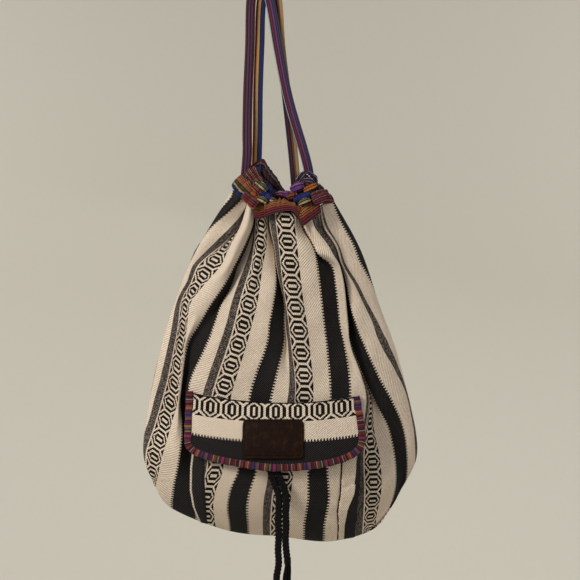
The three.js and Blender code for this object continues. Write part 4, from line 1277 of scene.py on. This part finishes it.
def pocket_sheet(k):
    """Grid of the pocket panel and its cloth coordinates.

    A seam runs down near the right edge, where the panel is joined on from another cut of the cloth.
    Wrinkles are bell curves across and along their slant, on top of a slow wave, and fade out at the top
    and bottom.
    """
    left, right = pocket_sides(k)
    seam_half, beside = 0.0004, 0.00045
    columns = np.concatenate([np.linspace(left, JOIN - beside, 130),
                              [JOIN - seam_half, JOIN, JOIN + seam_half],
                              np.linspace(JOIN + beside, right, 30)])
    x, v = np.meshgrid(columns, np.linspace(0, 1, 110))
    z = pocket_z(k, x, v)
    joined_on = x > JOIN
    seam, edge = side_x(z, POCKET_SEAM), side_x(z, POCKET_EDGE)
    x = np.where(joined_on, seam + (x - JOIN) * (edge - seam) / (right - JOIN),
                 left + (x - left) * (seam - left) / (JOIN - left))
    dent = 0.0012 * np.sin(70 * x + 40 * z) * np.sin(38 * z - 20 * x)
    dent += 0.0036 * np.exp(-((x - seam) / 0.0012) ** 2)
    for depth, x0, z0, slant, wide, long in POCKET_WRINKLES:
        off = (x - x0) * np.sin(slant) + (z - z0) * np.cos(slant)
        ahead = (x - x0) * np.cos(slant) - (z - z0) * np.sin(slant)
        dent += depth * np.exp(-(off / wide) ** 2 - (ahead / long) ** 2)
    y = pocket_y(k, x, z) + dent * np.sin(np.pi * np.clip(v, 0, 0.98)) ** 0.5

    # Its stripes lean and wave: cloth lies evenly between two stripe lines
    lines = np.array(POCKET_LINES) / 1000
    t = np.interp(-z.ravel() * 1000, POCKET_DROPS, np.arange(len(POCKET_DROPS)))
    at = rail(lines[:, 1:].T, t).reshape(*z.shape, -1)
    span = np.clip(np.sum(at < x[..., None], -1) - 1, 0, len(lines) - 2)
    start, stop = neighbours(at, span[..., None], -1)
    share = (x - start[..., 0]) / (stop - start)[..., 0]
    across = lines[span, 0] + share * (lines[span + 1, 0] - lines[span, 0])
    # The other cut starts in a band of octagons, and the seam itself is dark
    across = np.where(joined_on, FIRST_BAND + 0.010 + (x - seam), np.minimum(across, 0.003))
    across = np.where(np.abs(columns - JOIN) < (seam_half + beside) / 2, DARK_STRIPE, across)
    return np.stack([x, y, z], -1), np.stack([across, -z], -1)


def gusset_sheet(k, side):
    """Grid of the left gusset with side -1, or the right one with 1, and its cloth coordinates.

    It goes from its edge on the body out to the panel's edge, rising as a sine, and bows a little inwards.
    """
    left, right = pocket_sides(k)
    share, v = grid(16, 90)
    share = share if side < 0 else share[:, ::-1]
    z = pocket_z(k, np.array([left if side < 0 else right]), v)
    if side < 0:
        on_body, on_panel = left - k.gusset + side_x(z, GUSSET_BOW), np.full_like(z, left)
    else:
        on_body, on_panel = side_x(z, GUSSET_EDGE), side_x(z, POCKET_EDGE)
    back, front = front_y(k, on_body, z) - 0.001, pocket_y(k, on_panel, z)
    x = on_body + (on_panel - on_body) * share - side * 0.002 * np.sin(np.pi * share)
    y = back + (front - back) * np.sin(share * np.pi / 2) ** 0.8
    across = np.where((share < 0.12) & (side < 0), -0.146, -0.130 + 0.018 * share)
    return np.stack([x, y, z], -1), np.stack([across, -z], -1)


class BAG_OT_pocket(bpy.types.Operator):
    """Make the pocket panel and its gussets"""
    bl_idname = "bag.pocket"
    bl_label = "Pocket"

    def execute(self, context):
        k = context.scene.bag_sizes
        left, right = pocket_sides(k)
        for node, slot, sheet, flat in (
                ("pocket_panel", "body_cloth", pocket_sheet(k), (right - left, 0.150)),
                ("pocket_gusset_left", "dark_cloth", gusset_sheet(k, -1), (0.024, 0.140)),
                ("pocket_gusset_right", "dark_cloth", gusset_sheet(k, 1), (0.024, 0.140))):
            piece = surface(node + "_cloth", *sheet, bpy.data.materials["Woven cotton"])
            thicken(piece, k.cloth)
            declare(piece, node)
        return {"FINISHED"}


def flap_sheet(k):
    """Grid of the flap and its cloth coordinates, turned so that its bands run across."""
    left, bottom, right, top = flap_edges(k, 0.0017)
    share, v = grid(170, 80)
    x, z = np.moveaxis(edge_patch(bottom, top, left, right, share, v), -1, 0)
    bow = 0.0010 * np.sin(45 * x + 1) * np.sin(60 * (z + 0.5)) * (1 - v)
    fall = along(top, share)[..., 1] - z
    across = np.minimum(FLAP_TOP - 0.004 * (1 - share) ** 2 + fall, FLAP_LAST)
    cloth = np.stack([across, (x - FLAP_MIDDLE) * FLAP_PITCH], -1)
    return np.stack([x, flap_y(k, x, z) - CLEAR + bow, z], -1), cloth


def binding_sheet(k):
    """Grid of the binding and its cloth coordinates: a strip folded over the edge, an arch on each face."""
    left, bottom, right, _ = flap_edges(k, 0)
    edge = np.vstack([left[::-1], bottom[1:], right[1:]])
    run = run_length(edge)
    even = np.linspace(0, run[-1], 320)[:, None]
    edge = np.stack([np.interp(even[:, 0], run, axis) for axis in edge.T], -1)
    # Its direction is averaged over 13 stations, so that it goes smoothly round the corners
    tangent = np.pad(unit(np.gradient(edge, axis=0)), ((6, 6), (0, 0)), mode="edge")
    tangent = unit(np.stack([np.convolve(axis, np.ones(13) / 13, "valid") for axis in tangent.T], -1))
    inward = np.stack([-tangent[:, 1], tangent[:, 0]], -1)
    turn = np.linspace(0, 2 * np.pi, 33)[:-1]
    inset = k.binding / 2 * (1 - np.sign(np.cos(turn)) * np.abs(np.cos(turn)) ** 0.7)
    deep = 0.0030 * np.sign(np.sin(turn)) * np.abs(np.sin(turn)) ** 0.55
    pucker = 0.0004 * np.sin(even / 0.0021) * np.cos(turn / 2) ** 2
    x, z = np.moveaxis(edge[:, None] + inward[:, None] * (inset + pucker)[..., None], -1, 0)
    base = flap_y(k, x, np.minimum(z, -k.flap_drop)) - 0.001
    points = np.stack([x, base - deep - pucker * np.sign(deep), z], -1)
    ring = ring_length(points)
    return points, np.stack([ring, np.broadcast_to(even, ring.shape)], -1)


def patch_sheet(k):
    """Grid of the patch and its cloth coordinates.

    A rounded rectangle, domed at its edge as a quarter circle, with a pressed line as a bell curve.
    """
    share, v = grid(90, 60)
    corner, edge = 0.0065, 0.0016
    half_w, half_h = k.patch_width / 2, k.patch_height / 2
    x = (2 * share - 1) * half_w
    past = np.clip(np.abs(x) - half_w + corner, 0, corner)
    z = (2 * v - 1) * (half_h - corner + np.sqrt(np.clip(corner ** 2 - past ** 2, 0, None)))
    reach = np.minimum(half_w - np.abs(x), half_h - np.abs(z))
    dome = 0.0017 * np.sqrt(np.clip(1 - (1 - np.clip(reach / edge, 0, 1)) ** 2, 0, None)) + 0.0003
    line = 0.0005 * np.exp(-((reach - 0.0034) / 0.0006) ** 2)
    wx, wz = x + k.patch_shift, z - k.patch_drop
    return np.stack([wx, flap_y(k, wx, wz) - 0.0023 - dome + line, wz], -1), np.stack([x, z], -1)


class BAG_OT_flap(bpy.types.Operator):
    """Make the pocket flap, its binding, its stitching and the leather patch"""
    bl_idname = "bag.flap"
    bl_label = "Flap"

    def execute(self, context):
        k = context.scene.bag_sizes
        shared = bpy.data.materials
        flap = surface("pocket_flap_cloth", *flap_sheet(k), shared["Woven cotton"])
        thicken(flap, k.cloth)
        binding_cotton = striped_cotton("Binding cotton", BINDING, repeat=0.060, waver=0.02)
        binding = surface("flap_binding_strip", *binding_sheet(k), binding_cotton, closed=True)
        patch = surface("leather_patch_skin", *patch_sheet(k), shared["Pressed leather"])
        thicken(patch, 0.0004)
        # Stitching along the flap's sewn edge
        x, z = even_curve(flap_edges(k, 0)[-1][4:-4], 160).T
        path = np.stack([x, flap_y(k, x, z) - 0.0026, z - 0.0006], -1)
        section = rounded(0.0014, 0.0012, 12)
        seam = strip("flap_seam_thread", path, UPWARDS, section, shared["Braided cotton cord"])
        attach(seam, "root")
        declare(flap, "pocket_flap")
        declare(binding, "flap_binding")
        declare(patch, "leather_patch")
        return {"FINISHED"}


class BAG_PT_panel(bpy.types.Panel):
    """Sizes and colours of the bag, and a button for each group of pieces"""
    bl_idname = "BAG_PT_panel"
    bl_label = "Drawstring bag"
    bl_space_type = "VIEW_3D"
    bl_region_type = "UI"
    bl_category = "Bag"

    def draw(self, context):
        for group in GROUPS:
            settings = getattr(context.scene, group)
            column = self.layout.column(align=True)
            for key in settings.bl_rna.properties.keys():
                if key not in {"rna_type", "name"}:
                    column.prop(settings, key)
        for operator in OPERATORS:
            self.layout.operator(operator.bl_idname)


GROUPS = {"bag_sizes": BagSizes, "bag_cloth": BagCloth, "bag_colours": BagColours, "bag_stage": BagStage}
OPERATORS = (BAG_OT_stage, BAG_OT_cloth, BAG_OT_drawstrings, BAG_OT_tie, BAG_OT_panels, BAG_OT_casings,
             BAG_OT_pocket, BAG_OT_flap)


def register():
    for name, group in GROUPS.items():
        bpy.utils.register_class(group)
        setattr(bpy.types.Scene, name, PointerProperty(type=group))
    for kind in (*OPERATORS, BAG_PT_panel):
        bpy.utils.register_class(kind)


def unregister():
    for kind in (BAG_PT_panel, *reversed(OPERATORS)):
        bpy.utils.unregister_class(kind)
    for name, group in reversed(GROUPS.items()):
        delattr(bpy.types.Scene, name)
        bpy.utils.unregister_class(group)


def main():
    register()
    bpy.ops.bag.stage()
    bpy.ops.bag.cloth()
    bpy.ops.bag.drawstrings()
    bpy.ops.bag.tie()
    bpy.ops.bag.panels()
    bpy.ops.bag.casings()
    bpy.ops.bag.pocket()
    bpy.ops.bag.flap()
    bpy.context.view_layer.update()


if __name__ == "__main__":
    main()
